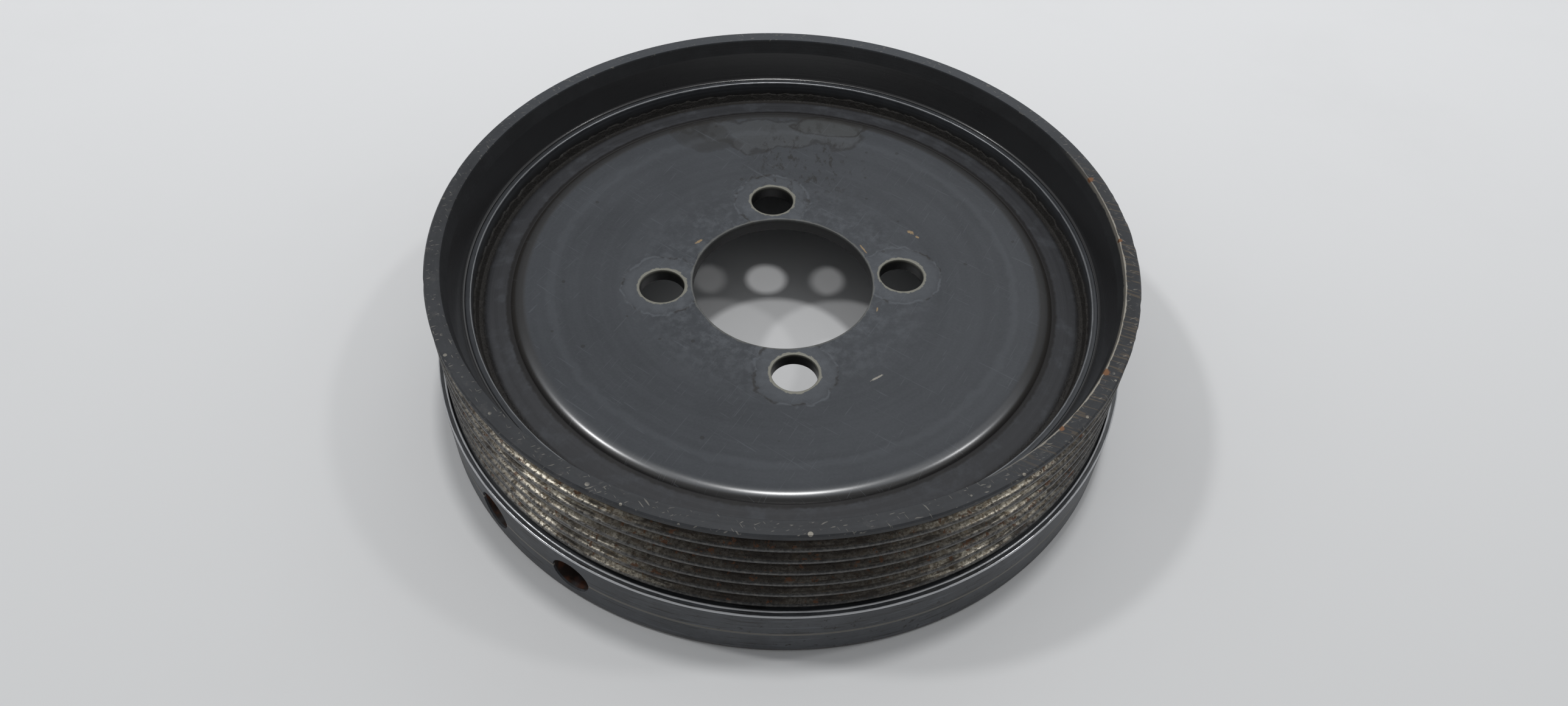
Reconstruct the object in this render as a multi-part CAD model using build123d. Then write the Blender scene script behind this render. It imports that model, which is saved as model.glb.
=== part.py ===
"""Crankshaft belt pulley with a rubber isolator and a torsional vibration damper.

Z is the shaft axis and +Z points away from the engine. z = 0 is the hub's rear mounting face.
Radii are given as r, heights as z. All sizes are millimetres, all angles degrees.
"""
from build123d import *
import math
import os

# --- belt pulley: the grooved outer ring -------------------------------------------------
PULLEY_DIA = 136.7          # over the ridges between the grooves
RIM_FRONT = 16.0            # front face of the rim, ahead of the mounting face
GROOVE_COUNT = 6
GROOVE_PITCH = 3.56         # PK belt profile
GROOVE_ANGLE = 40.0
GROOVE_DEPTH = 2.9
GROOVE_ROOT_WIDTH = 0.85
FRONT_LAND = 1.17           # plain land in front of the first groove
REAR_LAND = 0.7             # plain land behind the last groove
RIM_LIP_WIDTH = 3.0         # flat front face, from the outer edge inwards
RECESS_CONE_DEPTH = 3.0     # turned cone just inside the rim
ROOT_WALL = 0.85            # metal left between the first groove and the cone
RING_WALL = 3.15            # metal between the groove roots and the ring's bore
LEDGE_DEPTH = 8.9           # from the rim's front face to the isolator sleeve
LEDGE_STEP = 0.64           # from the bore out to the foot of the recess wall
WALL_FOOT_ROUND = 0.8
RIM_CHAMFER = 0.3

# --- rubber isolator between the hub and the belt pulley ------------------------------------
SLEEVE_WALL = 1.2
SLEEVE_EDGE_ROUND = 0.24
ISOLATOR_THICKNESS = 6.1    # radial
ISOLATOR_DISH = 0.5         # how far the rubber's front face is hollowed
ISOLATOR_LAP = 3.0          # rubber's front edge at the sleeve, behind the sleeve's front edge
ISOLATOR_DROP = 0.96        # rubber's front edge at the hub, behind the web's edge
ISOLATOR_REAR_GAP = 0.5     # rubber's rear face, ahead of the sleeve's rear edge

# --- hub --------------------------------------------------------------------------------
PLATE_THICKNESS = 3.0
PILOT_BORE_DIA = 36.5
BOLT_CIRCLE_DIA = 48.8
BOLT_HOLE_DIA = 9.0
BOLT_COUNT = 4
FIRST_BOLT_ANGLE = 7.2
CLAMP_FACE_DIA = 62.0       # flat face round the bolts; the web rises outside it
WEB_RISE = 1.6
DRUM_WALL = 3.0
DRUM_CORNER_ROUND = 3.2
DRUM_INNER_ROUND = 1.07
DRUM_SETBACK = 2.0          # drum's rear edge, ahead of the inertia ring's rear face

# --- bearing and support ring, behind the isolator -------------------------------------------
SUPPORT_WALL = 1.8          # sheet thickness of the support ring
SUPPORT_RIM_WALL = 1.6
SUPPORT_CORNER_ROUND = 0.9
FLANGE_SETBACK = 0.6        # flange's rear face, behind the bush's rear edge
COLLAR_SETBACK = 0.75       # collar's rear edge, ahead of the drum's rear edge
BUSH_WIDTH = 2.9
BUSH_WALL = 1.22
RUNNING_CLEARANCE = 0.08    # radial, bush on the support ring
THRUST_RING_THICKNESS = 0.6
THRUST_CLEARANCE = 0.1      # axial, thrust ring to the support ring
BUSH_SETBACK = 0.2          # bush's rear edge, ahead of the pulley's rear face

# --- damper -----------------------------------------------------------------------------
DAMPER_THICKNESS = 3.2      # radial
DAMPER_DISH = 0.8
DAMPER_END_GAP = 0.8        # rubber's front end, behind the inertia ring's stepped face
RING_STANDOUT = 1.65        # inertia ring's radius over the pulley's
RING_WIDTH = 12.6
RING_LIP_WIDTH = 1.3        # raised front lip of the inertia ring
RING_LIP_HEIGHT = 0.9
RING_FRONT_GAP = 0.3        # lip's front face, behind the pulley's rear face
RING_EDGE_ROUND = 0.3
RING_REAR_CHAMFER = 0.5
SCRIBE_WIDTH = 0.5
SCRIBE_DEPTH = 0.25
BALANCE_HOLE_DIA = 8.0
BALANCE_HOLE_DEPTH = 5.5
BALANCE_HOLE_ANGLES = (-137.5, -120.5)
DRILL_POINT_ANGLE = 118.0

# --- radii worked out from the outside in -----------------------------------------------------
pulley_r = PULLEY_DIA / 2
groove_root_r = pulley_r - GROOVE_DEPTH
pulley_bore_r = groove_root_r - RING_WALL
sleeve_inner_r = pulley_bore_r - SLEEVE_WALL
drum_r = sleeve_inner_r - ISOLATOR_THICKNESS
drum_inner_r = drum_r - DRUM_WALL
collar_r = drum_r + SUPPORT_WALL
support_rim_r = pulley_bore_r - BUSH_WALL - RUNNING_CLEARANCE
ring_r = pulley_r + RING_STANDOUT
ring_bore_r = collar_r + DAMPER_THICKNESS
lip_inner_r = ring_r - RING_LIP_WIDTH

# --- heights worked out from the rim's front face backwards -------------------------------------
groove_top_width = GROOVE_ROOT_WIDTH + 2 * GROOVE_DEPTH * math.tan(math.radians(GROOVE_ANGLE / 2))
first_groove_z = RIM_FRONT - FRONT_LAND - groove_top_width / 2
last_groove_z = first_groove_z - GROOVE_PITCH * (GROOVE_COUNT - 1)
pulley_rear_z = last_groove_z - groove_top_width / 2 - REAR_LAND
ledge_z = RIM_FRONT - LEDGE_DEPTH
bush_rear_z = pulley_rear_z + BUSH_SETBACK
bush_front_z = bush_rear_z + BUSH_WIDTH
sleeve_rear_z = bush_front_z + THRUST_RING_THICKNESS
isolator_rear_z = sleeve_rear_z + ISOLATOR_REAR_GAP
support_rim_front_z = bush_front_z - THRUST_CLEARANCE
ring_front_z = pulley_rear_z - RING_FRONT_GAP
ring_step_z = ring_front_z - RING_LIP_HEIGHT
ring_rear_z = ring_front_z - RING_WIDTH
scribe_z = (ring_front_z + ring_rear_z) / 2
drum_rear_z = ring_rear_z + DRUM_SETBACK
flange_rear_z = bush_rear_z - FLANGE_SETBACK
collar_rear_z = drum_rear_z + COLLAR_SETBACK
web_edge_z = PLATE_THICKNESS + WEB_RISE


def turned(outline, rounds=()):
    """Turn a closed (r, z) outline about the shaft axis; rounds are ((r, z), radius) corners."""
    face = Sketch() + make_face(Polyline(*outline, close=True))
    for corner, radius in rounds:
        near = face.vertices().sort_by_distance((corner[0], corner[1], 0))[0]
        face = fillet(near, radius)
    return revolve(Plane.XZ * face, axis=Axis.Z)


def ring(inner_r, outer_r, rear_z, front_z, edge_round=0.0):
    """A plain ring, with its two front edges rounded when edge_round is given."""
    outline = [(inner_r, rear_z), (outer_r, rear_z), (outer_r, front_z), (inner_r, front_z)]
    rounds = [((inner_r, front_z), edge_round), ((outer_r, front_z), edge_round)]
    return turned(outline, rounds if edge_round else ())


def around(shape, angle):
    """The shape turned about the shaft axis."""
    return Rot(0, 0, angle) * shape


def hub_plate():
    """Dished web with bore and bolt holes, rounded corner and a drum towards the engine."""
    bore_r = PILOT_BORE_DIA / 2
    clamp_r = CLAMP_FACE_DIA / 2
    outline = [
        (bore_r, 0),
        (clamp_r, 0),
        (drum_inner_r, WEB_RISE),
        (drum_inner_r, drum_rear_z),
        (drum_r, drum_rear_z),
        (drum_r, web_edge_z),
        (clamp_r, PLATE_THICKNESS),
        (bore_r, PLATE_THICKNESS),
    ]
    outer_corner = ((drum_r, web_edge_z), DRUM_CORNER_ROUND)
    inner_corner = ((drum_inner_r, WEB_RISE), DRUM_INNER_ROUND)
    body = turned(outline, [outer_corner, inner_corner])
    hole = Cylinder(BOLT_HOLE_DIA / 2, 3 * PLATE_THICKNESS)
    for index in range(BOLT_COUNT):
        angle = FIRST_BOLT_ANGLE + index * 360 / BOLT_COUNT
        body -= around(Pos(BOLT_CIRCLE_DIA / 2, 0, PLATE_THICKNESS / 2) * hole, angle)
    return body


def groove_outline():
    """(r, z) points down the outside of the pulley, one V groove after another."""
    points = []
    for index in range(GROOVE_COUNT):
        z = first_groove_z - index * GROOVE_PITCH
        points.append((pulley_r, z + groove_top_width / 2))
        points.append((groove_root_r, z + GROOVE_ROOT_WIDTH / 2))
        points.append((groove_root_r, z - GROOVE_ROOT_WIDTH / 2))
        points.append((pulley_r, z - groove_top_width / 2))
    return points


def belt_pulley():
    """Grooved ring with a flat rim, a turned cone and a sloping recess wall down to its bore."""
    cone_r = groove_root_r - ROOT_WALL
    wall_foot_r = pulley_bore_r + LEDGE_STEP
    wall_foot_z = ledge_z + WALL_FOOT_ROUND
    outline = [
        (pulley_r - RIM_CHAMFER, RIM_FRONT),
        (pulley_r, RIM_FRONT - RIM_CHAMFER),
        *groove_outline(),
        (pulley_r, pulley_rear_z + RIM_CHAMFER),
        (pulley_r - RIM_CHAMFER, pulley_rear_z),
        (pulley_bore_r, pulley_rear_z),
        (pulley_bore_r, ledge_z),
        (wall_foot_r, wall_foot_z),
        (cone_r, RIM_FRONT - RECESS_CONE_DEPTH),
        (pulley_r - RIM_LIP_WIDTH, RIM_FRONT),
    ]
    return turned(outline, [((wall_foot_r, wall_foot_z), WALL_FOOT_ROUND)])


def isolator_sleeve():
    """Thin steel ring round the isolator rubber, pressed into the pulley's bore."""
    return ring(sleeve_inner_r, pulley_bore_r, sleeve_rear_z, ledge_z, SLEEVE_EDGE_ROUND)


def isolator_rubber(hub):
    """Rubber ring bonded to the drum's outside, up to its rounded corner, and to the sleeve."""
    inside_hub_r = drum_r - DRUM_CORNER_ROUND / 2
    front_inner = (inside_hub_r, web_edge_z - ISOLATOR_DROP)
    front_outer = (sleeve_inner_r, ledge_z - ISOLATOR_LAP)
    hollow = ((inside_hub_r + sleeve_inner_r) / 2, front_inner[1] - ISOLATOR_DISH)
    rear_inner = (inside_hub_r, isolator_rear_z)
    rear_outer = (sleeve_inner_r, isolator_rear_z)
    front = ThreePointArc(front_inner, hollow, front_outer)
    rest = Polyline(front_outer, rear_outer, rear_inner, front_inner)
    return revolve(Plane.XZ * make_face([front, rest]), axis=Axis.Z) - hub


def support_ring():
    """Collar on the drum, flange, and forward rim that the bearing bush runs on."""
    rim_inner_r = support_rim_r - SUPPORT_RIM_WALL
    flange_front_z = flange_rear_z + SUPPORT_WALL
    outline = [
        (drum_r, collar_rear_z),
        (collar_r, collar_rear_z),
        (collar_r, flange_rear_z),
        (support_rim_r, flange_rear_z),
        (support_rim_r, support_rim_front_z),
        (rim_inner_r, support_rim_front_z),
        (rim_inner_r, flange_front_z),
        (drum_r, flange_front_z),
    ]
    return turned(outline, [((support_rim_r, flange_rear_z), SUPPORT_CORNER_ROUND)])


def bearing_bush():
    """Plain radial bush, pressed in the pulley and running on the support ring."""
    return ring(pulley_bore_r - BUSH_WALL, pulley_bore_r, bush_rear_z, bush_front_z)


def thrust_ring():
    """Flat ring between the isolator sleeve and the support ring's forward rim."""
    inner_r = support_rim_r - SUPPORT_RIM_WALL
    return ring(inner_r, pulley_bore_r, bush_front_z, sleeve_rear_z)


def damper_rubber():
    """Rubber ring between the support ring's collar and the inertia ring, hollowed at both ends."""
    front_z = ring_step_z - DAMPER_END_GAP
    middle_r = (collar_r + ring_bore_r) / 2
    front_hollow = (middle_r, front_z - DAMPER_DISH)
    rear_hollow = (middle_r, collar_rear_z + DAMPER_DISH)
    front = ThreePointArc((collar_r, front_z), front_hollow, (ring_bore_r, front_z))
    rear = ThreePointArc((collar_r, collar_rear_z), rear_hollow, (ring_bore_r, collar_rear_z))
    inner = Line((collar_r, front_z), (collar_r, collar_rear_z))
    outer = Line((ring_bore_r, front_z), (ring_bore_r, collar_rear_z))
    return revolve(Plane.XZ * make_face([front, outer, rear, inner]), axis=Axis.Z)


def balance_hole(angle):
    """Blind radial drilling with a drill point, from outside the inertia ring inwards."""
    radius = BALANCE_HOLE_DIA / 2
    point_length = radius / math.tan(math.radians(DRILL_POINT_ANGLE / 2))
    start_r = ring_r + radius
    length = radius + BALANCE_HOLE_DEPTH - point_length
    outline = [(0, 0), (radius, 0), (radius, length), (0, length + point_length)]
    return around(Pos(start_r, 0, scribe_z) * Rot(0, -90, 0) * turned(outline), angle)


def inertia_ring():
    """Heavy ring with a raised front lip, a scribed line and the balance drillings."""
    half_scribe = SCRIBE_WIDTH / 2
    outline = [
        (ring_bore_r, ring_step_z),
        (lip_inner_r, ring_step_z),
        (lip_inner_r, ring_front_z),
        (ring_r, ring_front_z),
        (ring_r, scribe_z + half_scribe),
        (ring_r - SCRIBE_DEPTH, scribe_z),
        (ring_r, scribe_z - half_scribe),
        (ring_r, ring_rear_z + RING_REAR_CHAMFER),
        (ring_r - RING_REAR_CHAMFER, ring_rear_z),
        (ring_bore_r + RING_REAR_CHAMFER, ring_rear_z),
        (ring_bore_r, ring_rear_z + RING_REAR_CHAMFER),
    ]
    rounds = [((lip_inner_r, ring_front_z), RING_EDGE_ROUND), ((ring_r, ring_front_z), RING_EDGE_ROUND)]
    body = turned(outline, rounds)
    for angle in BALANCE_HOLE_ANGLES:
        body -= balance_hole(angle)
    return body


def main():
    """Build every piece and write one STEP file for each."""
    hub = hub_plate()
    pieces = {
        "hub_plate": hub,
        "isolator_rubber": isolator_rubber(hub),
        "isolator_sleeve": isolator_sleeve(),
        "belt_pulley": belt_pulley(),
        "support_ring": support_ring(),
        "bearing_bush": bearing_bush(),
        "thrust_ring": thrust_ring(),
        "damper_rubber": damper_rubber(),
        "inertia_ring": inertia_ring(),
    }
    os.makedirs("parts", exist_ok=True)
    for name, shape in pieces.items():
        export_step(shape, f"parts/{name}.step")


main()
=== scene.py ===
import math

import bmesh
import bpy
from bpy.props import FloatProperty, FloatVectorProperty, IntProperty, PointerProperty
from mathutils import Matrix, Vector, noise


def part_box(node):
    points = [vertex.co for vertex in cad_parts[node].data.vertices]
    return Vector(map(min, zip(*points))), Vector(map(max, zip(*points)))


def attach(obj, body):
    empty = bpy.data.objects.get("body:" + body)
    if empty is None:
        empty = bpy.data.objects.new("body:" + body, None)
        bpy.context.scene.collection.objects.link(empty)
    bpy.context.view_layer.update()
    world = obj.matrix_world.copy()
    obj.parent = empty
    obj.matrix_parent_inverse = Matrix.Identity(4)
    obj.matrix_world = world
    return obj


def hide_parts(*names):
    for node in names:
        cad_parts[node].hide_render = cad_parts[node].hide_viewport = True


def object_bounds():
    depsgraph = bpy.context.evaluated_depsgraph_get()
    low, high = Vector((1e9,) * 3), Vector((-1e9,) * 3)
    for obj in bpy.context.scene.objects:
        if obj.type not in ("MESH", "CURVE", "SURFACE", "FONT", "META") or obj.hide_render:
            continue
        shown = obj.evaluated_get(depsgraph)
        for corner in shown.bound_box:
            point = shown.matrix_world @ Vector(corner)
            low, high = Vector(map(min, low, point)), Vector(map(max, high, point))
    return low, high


bl_info = {
    "name": "Crankshaft Belt Pulley",
    "version": (1, 0, 0),
    "blender": (4, 5, 0),
    "location": "3D View > Sidebar > Pulley",
    "description": "Builds a used multi-rib belt pulley with its rubber isolator and damper ring",
    "category": "Add Mesh",
}

# Z is the shaft axis, +Z faces away from the engine and z = 0 is the hub's rear mounting face.
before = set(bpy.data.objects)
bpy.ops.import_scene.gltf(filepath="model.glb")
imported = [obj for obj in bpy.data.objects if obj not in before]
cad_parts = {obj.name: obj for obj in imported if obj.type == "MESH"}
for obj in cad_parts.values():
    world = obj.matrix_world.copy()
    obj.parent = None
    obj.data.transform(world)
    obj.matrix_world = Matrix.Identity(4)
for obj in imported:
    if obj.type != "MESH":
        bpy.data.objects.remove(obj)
cad_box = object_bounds()

MM = 0.001
WELD = 1e-6
EVEN_SHADING = "Even shading"
BARE_TRACK = 1  # slot of the groove metal on the belt ring

FLOAT = "NodeSocketFloat"
VECTOR = "NodeSocketVector"
VECTOR_OUTPUTS = ("Place", "Direction")
NOWHERE = (0.0, 0.0, 0.0)
# Sockets of a Mix node that hold the share and the two values, for colours and for numbers.
COLOUR_SOCKETS = (0, 6, 7)
COLOUR_OUTPUT = 2
NUMBER_SOCKETS = (0, 2, 3)

# Shades of small details, some of them painted shade and painted highlights. The main colours are in
# FinishColours.
SHOULDER_PAINTED_SHADE = (0.006, 0.005, 0.0045)
HOLE_WALL_PAINTED_SHADE = (0.008, 0.0075, 0.007)
RECESS_WALL_PAINTED_SHADE = (0.008, 0.0085, 0.0105)
RUBBED_SHADE = (0.11, 0.105, 0.10)
FLANK_SHADE = (0.38, 0.34, 0.27)
POLISHED_SHADE = (0.80, 0.75, 0.64)
ROOT_SHADE = (0.020, 0.014, 0.011)
ROOT_RUST = (0.12, 0.052, 0.024)
TIP_SHADE = (0.13, 0.125, 0.115)
SLEEVE_EDGE_WEAR_AND_HIGHLIGHT = (0.36, 0.37, 0.385)
CREVICE_PAINTED_SHADE = (0.007, 0.006, 0.006)
FLASH_SHADE = (0.040, 0.036, 0.032)
FOOT_SHADE = (0.10, 0.075, 0.055)
DRILLING_SHADE = (0.022, 0.014, 0.011)
DRILLING_RUST = (0.075, 0.026, 0.012)
LIP_EDGE_PAINTED_HIGHLIGHT = (0.62, 0.63, 0.65)
OILY_SHADE = (0.13, 0.13, 0.13)
PLASTIC_SHADE = (0.42, 0.36, 0.26)
SMUDGE_SHADE = (0.6, 0.6, 0.6)

# Stains on the web: centre and half size in millimetres, strength, outline's strength, shade.
STAINS = (
    ((-3.0, 46.6, 4.0), (19.0, 5.6, 6.0), 0.18, 0.55, (0.085, 0.085, 0.078)),
    ((-19.0, 43.6, 4.0), (6.5, 4.6, 6.0), 0.55, 0.35, (0.022, 0.022, 0.021)),
    ((9.0, 49.0, 4.0), (9.5, 2.8, 6.0), 0.30, 0.75, (0.055, 0.056, 0.050)),
)
# Flecks on the web: radius, angle, the way it lies, half size, finish colour.
FLECKS = (
    (30.8, -53.0, 35.0, (1.7, 0.26, 0.6), "bare"),
    (31.0, 31.0, -30.0, (0.9, 0.5, 0.6), "tan"),
    (31.5, 27.5, -40.0, (0.5, 0.3, 0.6), "tan"),
    (19.4, 32.0, -60.0, (1.6, 0.22, 0.6), "tan"),
    (20.6, 150.0, 45.0, (1.1, 0.35, 0.6), "tan"),
    (20.2, -20.0, 80.0, (0.8, 0.18, 0.6), "tan"),
)
# Rust spots on the rim's inner edge: angle and half size.
RIM_RUST = ((-29.0, 1.0), (-43.0, 0.6), (18.0, 0.8), (2.0, 0.6))
# Lamps: name, offsets across and along as shares of the height, share of the power.
LAMPS = (
    ("left lamp", -0.633, 0.09, 0.95),
    ("middle lamp", 0.036, 0.107, 1.0),
    ("right lamp", 0.657, 0.14, 0.50),
)
# Parts of the room that are brighter or dimmer: direction, start and end as cosines, gain.
ROOM_PARTS = (
    ((0.0, -0.70, 0.71), 0.75, 0.97, 0.45),
    ((0.0, -0.97, 0.24), 0.70, 1.00, 1.40),
    ((-0.25, 0.84, 0.48), 0.80, 0.97, 0.70),
    ((0.20, 0.78, 0.59), 0.94, 0.99, 2.60),
)
ROOM_COLOUR = (0.97, 0.985, 1.0, 1.0)
CAMERA_PLACE = (0.0, -0.1616, 0.1666)
CAMERA_TURN = (40.95, -1.86, 1.80)
SENSOR_WIDTH = 36.0


# --- sizes and finishes ---------------------------------------------------------------------------


def angle(name, description, degrees):
    """An angle that a user would change."""
    return FloatProperty(
        name=name, description=description, default=math.radians(degrees), subtype="ANGLE"
    )


def length(name, description, default):
    """A length that a user would change, in metres."""
    return FloatProperty(
        name=name, description=description, default=default, min=0.0, unit="LENGTH", precision=5
    )


def colour(name, description, default):
    """A colour that a user would change."""
    return FloatVectorProperty(
        name=name, description=description, default=default, min=0.0, max=1.0, subtype="COLOR"
    )


def amount(name, description, default, largest):
    """A share or a strength that a user would change."""
    return FloatProperty(name=name, description=description, default=default, min=0.0, max=largest)


class HubSizes(bpy.types.PropertyGroup):
    """The dished hub plate with its bore, bolt holes and drum."""

    plate: length("Plate", "Thickness of the flat middle", 3.0 * MM)
    bore: length("Pilot bore", "Radius of the bore", 18.25 * MM)
    bolt_circle: length("Bolt circle", "Radius that the bolt holes are on", 24.4 * MM)
    bolt_hole: length("Bolt hole", "Radius of a bolt hole", 4.5 * MM)
    bolt_count: IntProperty(name="Bolt holes", description="How many bolt holes", default=4, min=1)
    first_bolt: angle("First bolt", "Angle of the first hole", 7.2)
    clamp: length("Clamp face", "Radius where the web starts to rise", 31.0 * MM)
    edge: length("Hole edge", "Worn edge round each hole", 0.22 * MM)
    drum_wall: length("Drum wall", "Thickness of the drum", 3.0 * MM)
    shoulder: length("Shoulder", "Radius of the rounded corner onto the drum", 3.2 * MM)
    web_rise: length("Web rise", "How far the web rises to the drum", 1.6 * MM)


class BeltRingSizes(bpy.types.PropertyGroup):
    """The grooved outer ring that the belt runs on."""

    groove_count: IntProperty(name="Grooves", description="How many V grooves", default=6, min=1)
    groove_pitch: length("Groove pitch", "From one groove to the next", 3.56 * MM)
    groove_depth: length("Groove depth", "From a ridge down to a groove's root", 2.9 * MM)
    groove_root: length("Groove root", "Width of a groove's root", 0.85 * MM)
    groove_angle: angle("Groove angle", "Between a groove's flanks", 40.0)
    groove_tip: length("Groove tip", "Rounding of a groove's outer corners", 0.14 * MM)
    groove_base: length("Groove base", "Rounding of a groove's root corners", 0.25 * MM)
    front_land: length("Front land", "Plain land in front of the first groove", 1.17 * MM)
    rim_lip: length("Rim lip", "Width of the flat front face", 3.0 * MM)
    rim_edge: length("Rim edge", "Chamfer at the outer edges", 0.3 * MM)
    cone_depth: length("Cone depth", "Height of the turned cone inside the rim", 3.0 * MM)
    root_wall: length("Root wall", "Metal between the first groove and the cone", 0.85 * MM)
    wall_foot: length("Wall foot", "Rounding between the ledge and the recess wall", 0.5 * MM)
    ledge_step: length("Ledge step", "From the bore out to the wall's foot", 0.38 * MM)


class RubberSizes(bpy.types.PropertyGroup):
    """The isolator and damper rubbers."""

    face: length("Face", "Height of the isolator's face at the drum", 3.45 * MM)
    dish: length("Dish", "How far the isolator's face is hollowed", 0.45 * MM)
    lap: length("Lap", "Isolator's outer lip, behind the sleeve's edge", 2.9 * MM)
    trench: length("Trench", "Depth of the groove beside the outer lip", 0.9 * MM)
    flash: length("Flash", "How far the moulding flash stands up at most", 0.75 * MM)
    sleeve_wall: length("Sleeve wall", "Thickness of the isolator's steel sleeve", 1.2 * MM)
    damper_dish: length("Damper dish", "How far the damper rubber's ends are hollowed", 0.8 * MM)
    damper_clearance: length("Clearance", "Hairline between the damper rubber and its ring", 0.02 * MM)


class InertiaRingSizes(bpy.types.PropertyGroup):
    """The heavy damper ring with its two balance drillings."""

    lip: length("Lip", "Width of the raised front lip", 1.3 * MM)
    lip_height: length("Lip height", "Height of the raised front lip", 0.9 * MM)
    bead: length("Bead", "Width of the fine bead along the lip's inner edge", 0.26 * MM)
    front_round: length("Front round", "Rounding of the lip's edges", 0.35 * MM)
    rear_edge: length("Rear edge", "Chamfer at the rear edges", 0.5 * MM)
    scribe: length("Scribed line", "Width of the scribed line", 0.5 * MM)
    scribe_depth: length("Scribe depth", "Depth of the scribed line", 0.25 * MM)
    drilling: length("Drilling", "Radius of a balance drilling", 4.0 * MM)
    drilling_depth: length("Drilling depth", "Depth of a balance drilling at its point", 5.5 * MM)
    drill_point: angle("Drill point", "Between a drill point's flanks", 118.0)
    first_drilling: angle("First drilling", "Angle of the first drilling", -137.5)
    second_drilling: angle("Second drilling", "Angle of the second drilling", -120.5)


class SupportSizes(bpy.types.PropertyGroup):
    """The pressed ring behind the isolator that the bearing bush runs on."""

    wall: length("Wall", "Thickness of the collar and flange", 1.8 * MM)
    rim_wall: length("Rim wall", "Thickness of the forward rim", 1.6 * MM)
    corner: length("Corner", "Radius of the rim's rear corner", 0.9 * MM)


class FinishColours(bpy.types.PropertyGroup):
    """Colours of the coatings, the rubber, the bare metal and the dirt."""

    coat: colour("Coat", "Dark slate dip coat of the hub", (0.027, 0.030, 0.035))
    coat_pale: colour("Worn coat", "Dip coat rubbed pale", (0.105, 0.115, 0.13))
    ring_coat: colour("Ring coat", "Coat of the belt ring and the damper ring", (0.018, 0.019, 0.021))
    bare: colour("Bare metal", "Steel where the coat is chipped off", (0.33, 0.31, 0.27))
    edge_metal: colour("Edge metal", "Dull bare metal at the hole edges", (0.24, 0.235, 0.20))
    rust: colour("Rust", "Rust spots", (0.19, 0.085, 0.035))
    tan: colour("Tan dirt", "Dried dirt and light rust", (0.30, 0.21, 0.11))
    # Grime is also laid as painted shade: in the belt ring's recess, over the rubber's outer band, down
    # the sleeve and on the unlit shoulder.
    grime: colour("Grime", "Old oil and belt dust", (0.014, 0.012, 0.010))
    rubber: colour("Rubber", "Isolator and damper rubber", (0.027, 0.028, 0.0315))


class StageSettings(bpy.types.PropertyGroup):
    """Floor, lamps and camera."""

    floor_far: colour("Far floor", "Floor colour beyond the pulley", (0.86, 0.865, 0.875))
    # The near floor colour is a painted shadow falling from the camera side.
    floor_near: colour("Near floor", "Floor colour in front of the pulley", (0.64, 0.645, 0.65))
    floor_gap: length("Floor gap", "Hairline between the pulley and the floor", 0.02 * MM)
    room_light: amount("Room light", "Brightness of the room all round", 0.44, 10.0)
    lamp_height: length("Lamp height", "Height of the three lamps", 1.2)
    lamp_width: length("Lamp width", "Diameter of each lamp", 0.12)
    lamp_power: amount("Lamp power", "Power of the middle lamp in watts", 3.9, 100.0)
    camera_lens: amount("Lens", "Focal length in millimetres", 26.0, 200.0)


class PulleySettings(bpy.types.PropertyGroup):
    """Every setting of the pulley and its stage; the sidebar panel shows only the steps."""

    steps: IntProperty(name="Steps", description="Faces round a turned piece", default=288, min=24)
    hub: PointerProperty(type=HubSizes)
    belt_ring: PointerProperty(type=BeltRingSizes)
    rubber: PointerProperty(type=RubberSizes)
    inertia: PointerProperty(type=InertiaRingSizes)
    support: PointerProperty(type=SupportSizes)
    finish: PointerProperty(type=FinishColours)
    stage: PointerProperty(type=StageSettings)


def settings():
    """The settings that this scene holds."""
    return bpy.context.scene.belt_pulley


# --- mesh helpers -----------------------------------------------------------------------------------


def rounded_face(bm, corners, least_turn=0.01, degrees_per_segment=14):
    """A flat face in the XZ plane from (radius, height, rounding) corners, with its corners rounded."""
    points = [bm.verts.new((r, 0.0, z)) for r, z, _ in corners]
    bm.faces.new(points)
    for index, (point, corner) in enumerate(zip(points, corners)):
        before = Vector(corners[index - 1][:2])
        here = Vector(corner[:2])
        after = Vector(corners[(index + 1) % len(corners)][:2])
        turn = (here - before).angle(after - here)
        if corner[2] == 0.0 or turn < least_turn:
            continue
        bmesh.ops.bevel(
            bm,
            geom=[point],
            offset=corner[2] * math.tan(turn / 2),
            offset_type="OFFSET",
            segments=max(2, round(math.degrees(turn) / degrees_per_segment)),
            profile=0.5,
            affect="VERTICES",
            material=-1,
            clamp_overlap=False,
        )


def turned(corners, steps, open_end=False):
    """A bmesh turned about Z from (radius, height, rounding) corners.
    With open_end, the stretch between the last corner and the first stays open."""
    bm = bmesh.new()
    rounded_face(bm, corners)
    bmesh.ops.delete(bm, geom=bm.faces[:], context="FACES_ONLY")
    if open_end:
        ends = [Vector((r, 0.0, z)) for r, z, _ in (corners[0], corners[-1])]
        closing = [
            edge
            for edge in bm.edges
            if all(min((v.co - end).length for end in ends) < WELD for v in edge.verts)
        ]
        bmesh.ops.delete(bm, geom=closing, context="EDGES")
    bmesh.ops.spin(
        bm,
        geom=bm.verts[:] + bm.edges[:],
        cent=(0.0, 0.0, 0.0),
        axis=(0.0, 0.0, 1.0),
        dvec=(0.0, 0.0, 0.0),
        angle=2 * math.pi,
        steps=steps,
        use_merge=True,
        use_duplicate=False,
    )
    return bm


def joined(*parts):
    """One bmesh that holds all of these, which are freed."""
    whole = bmesh.new()
    for part in parts:
        mesh = bpy.data.meshes.new("part")
        part.to_mesh(mesh)
        part.free()
        whole.from_mesh(mesh)
        bpy.data.meshes.remove(mesh)
    bmesh.ops.remove_doubles(whole, verts=whole.verts, dist=WELD)
    return whole


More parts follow.
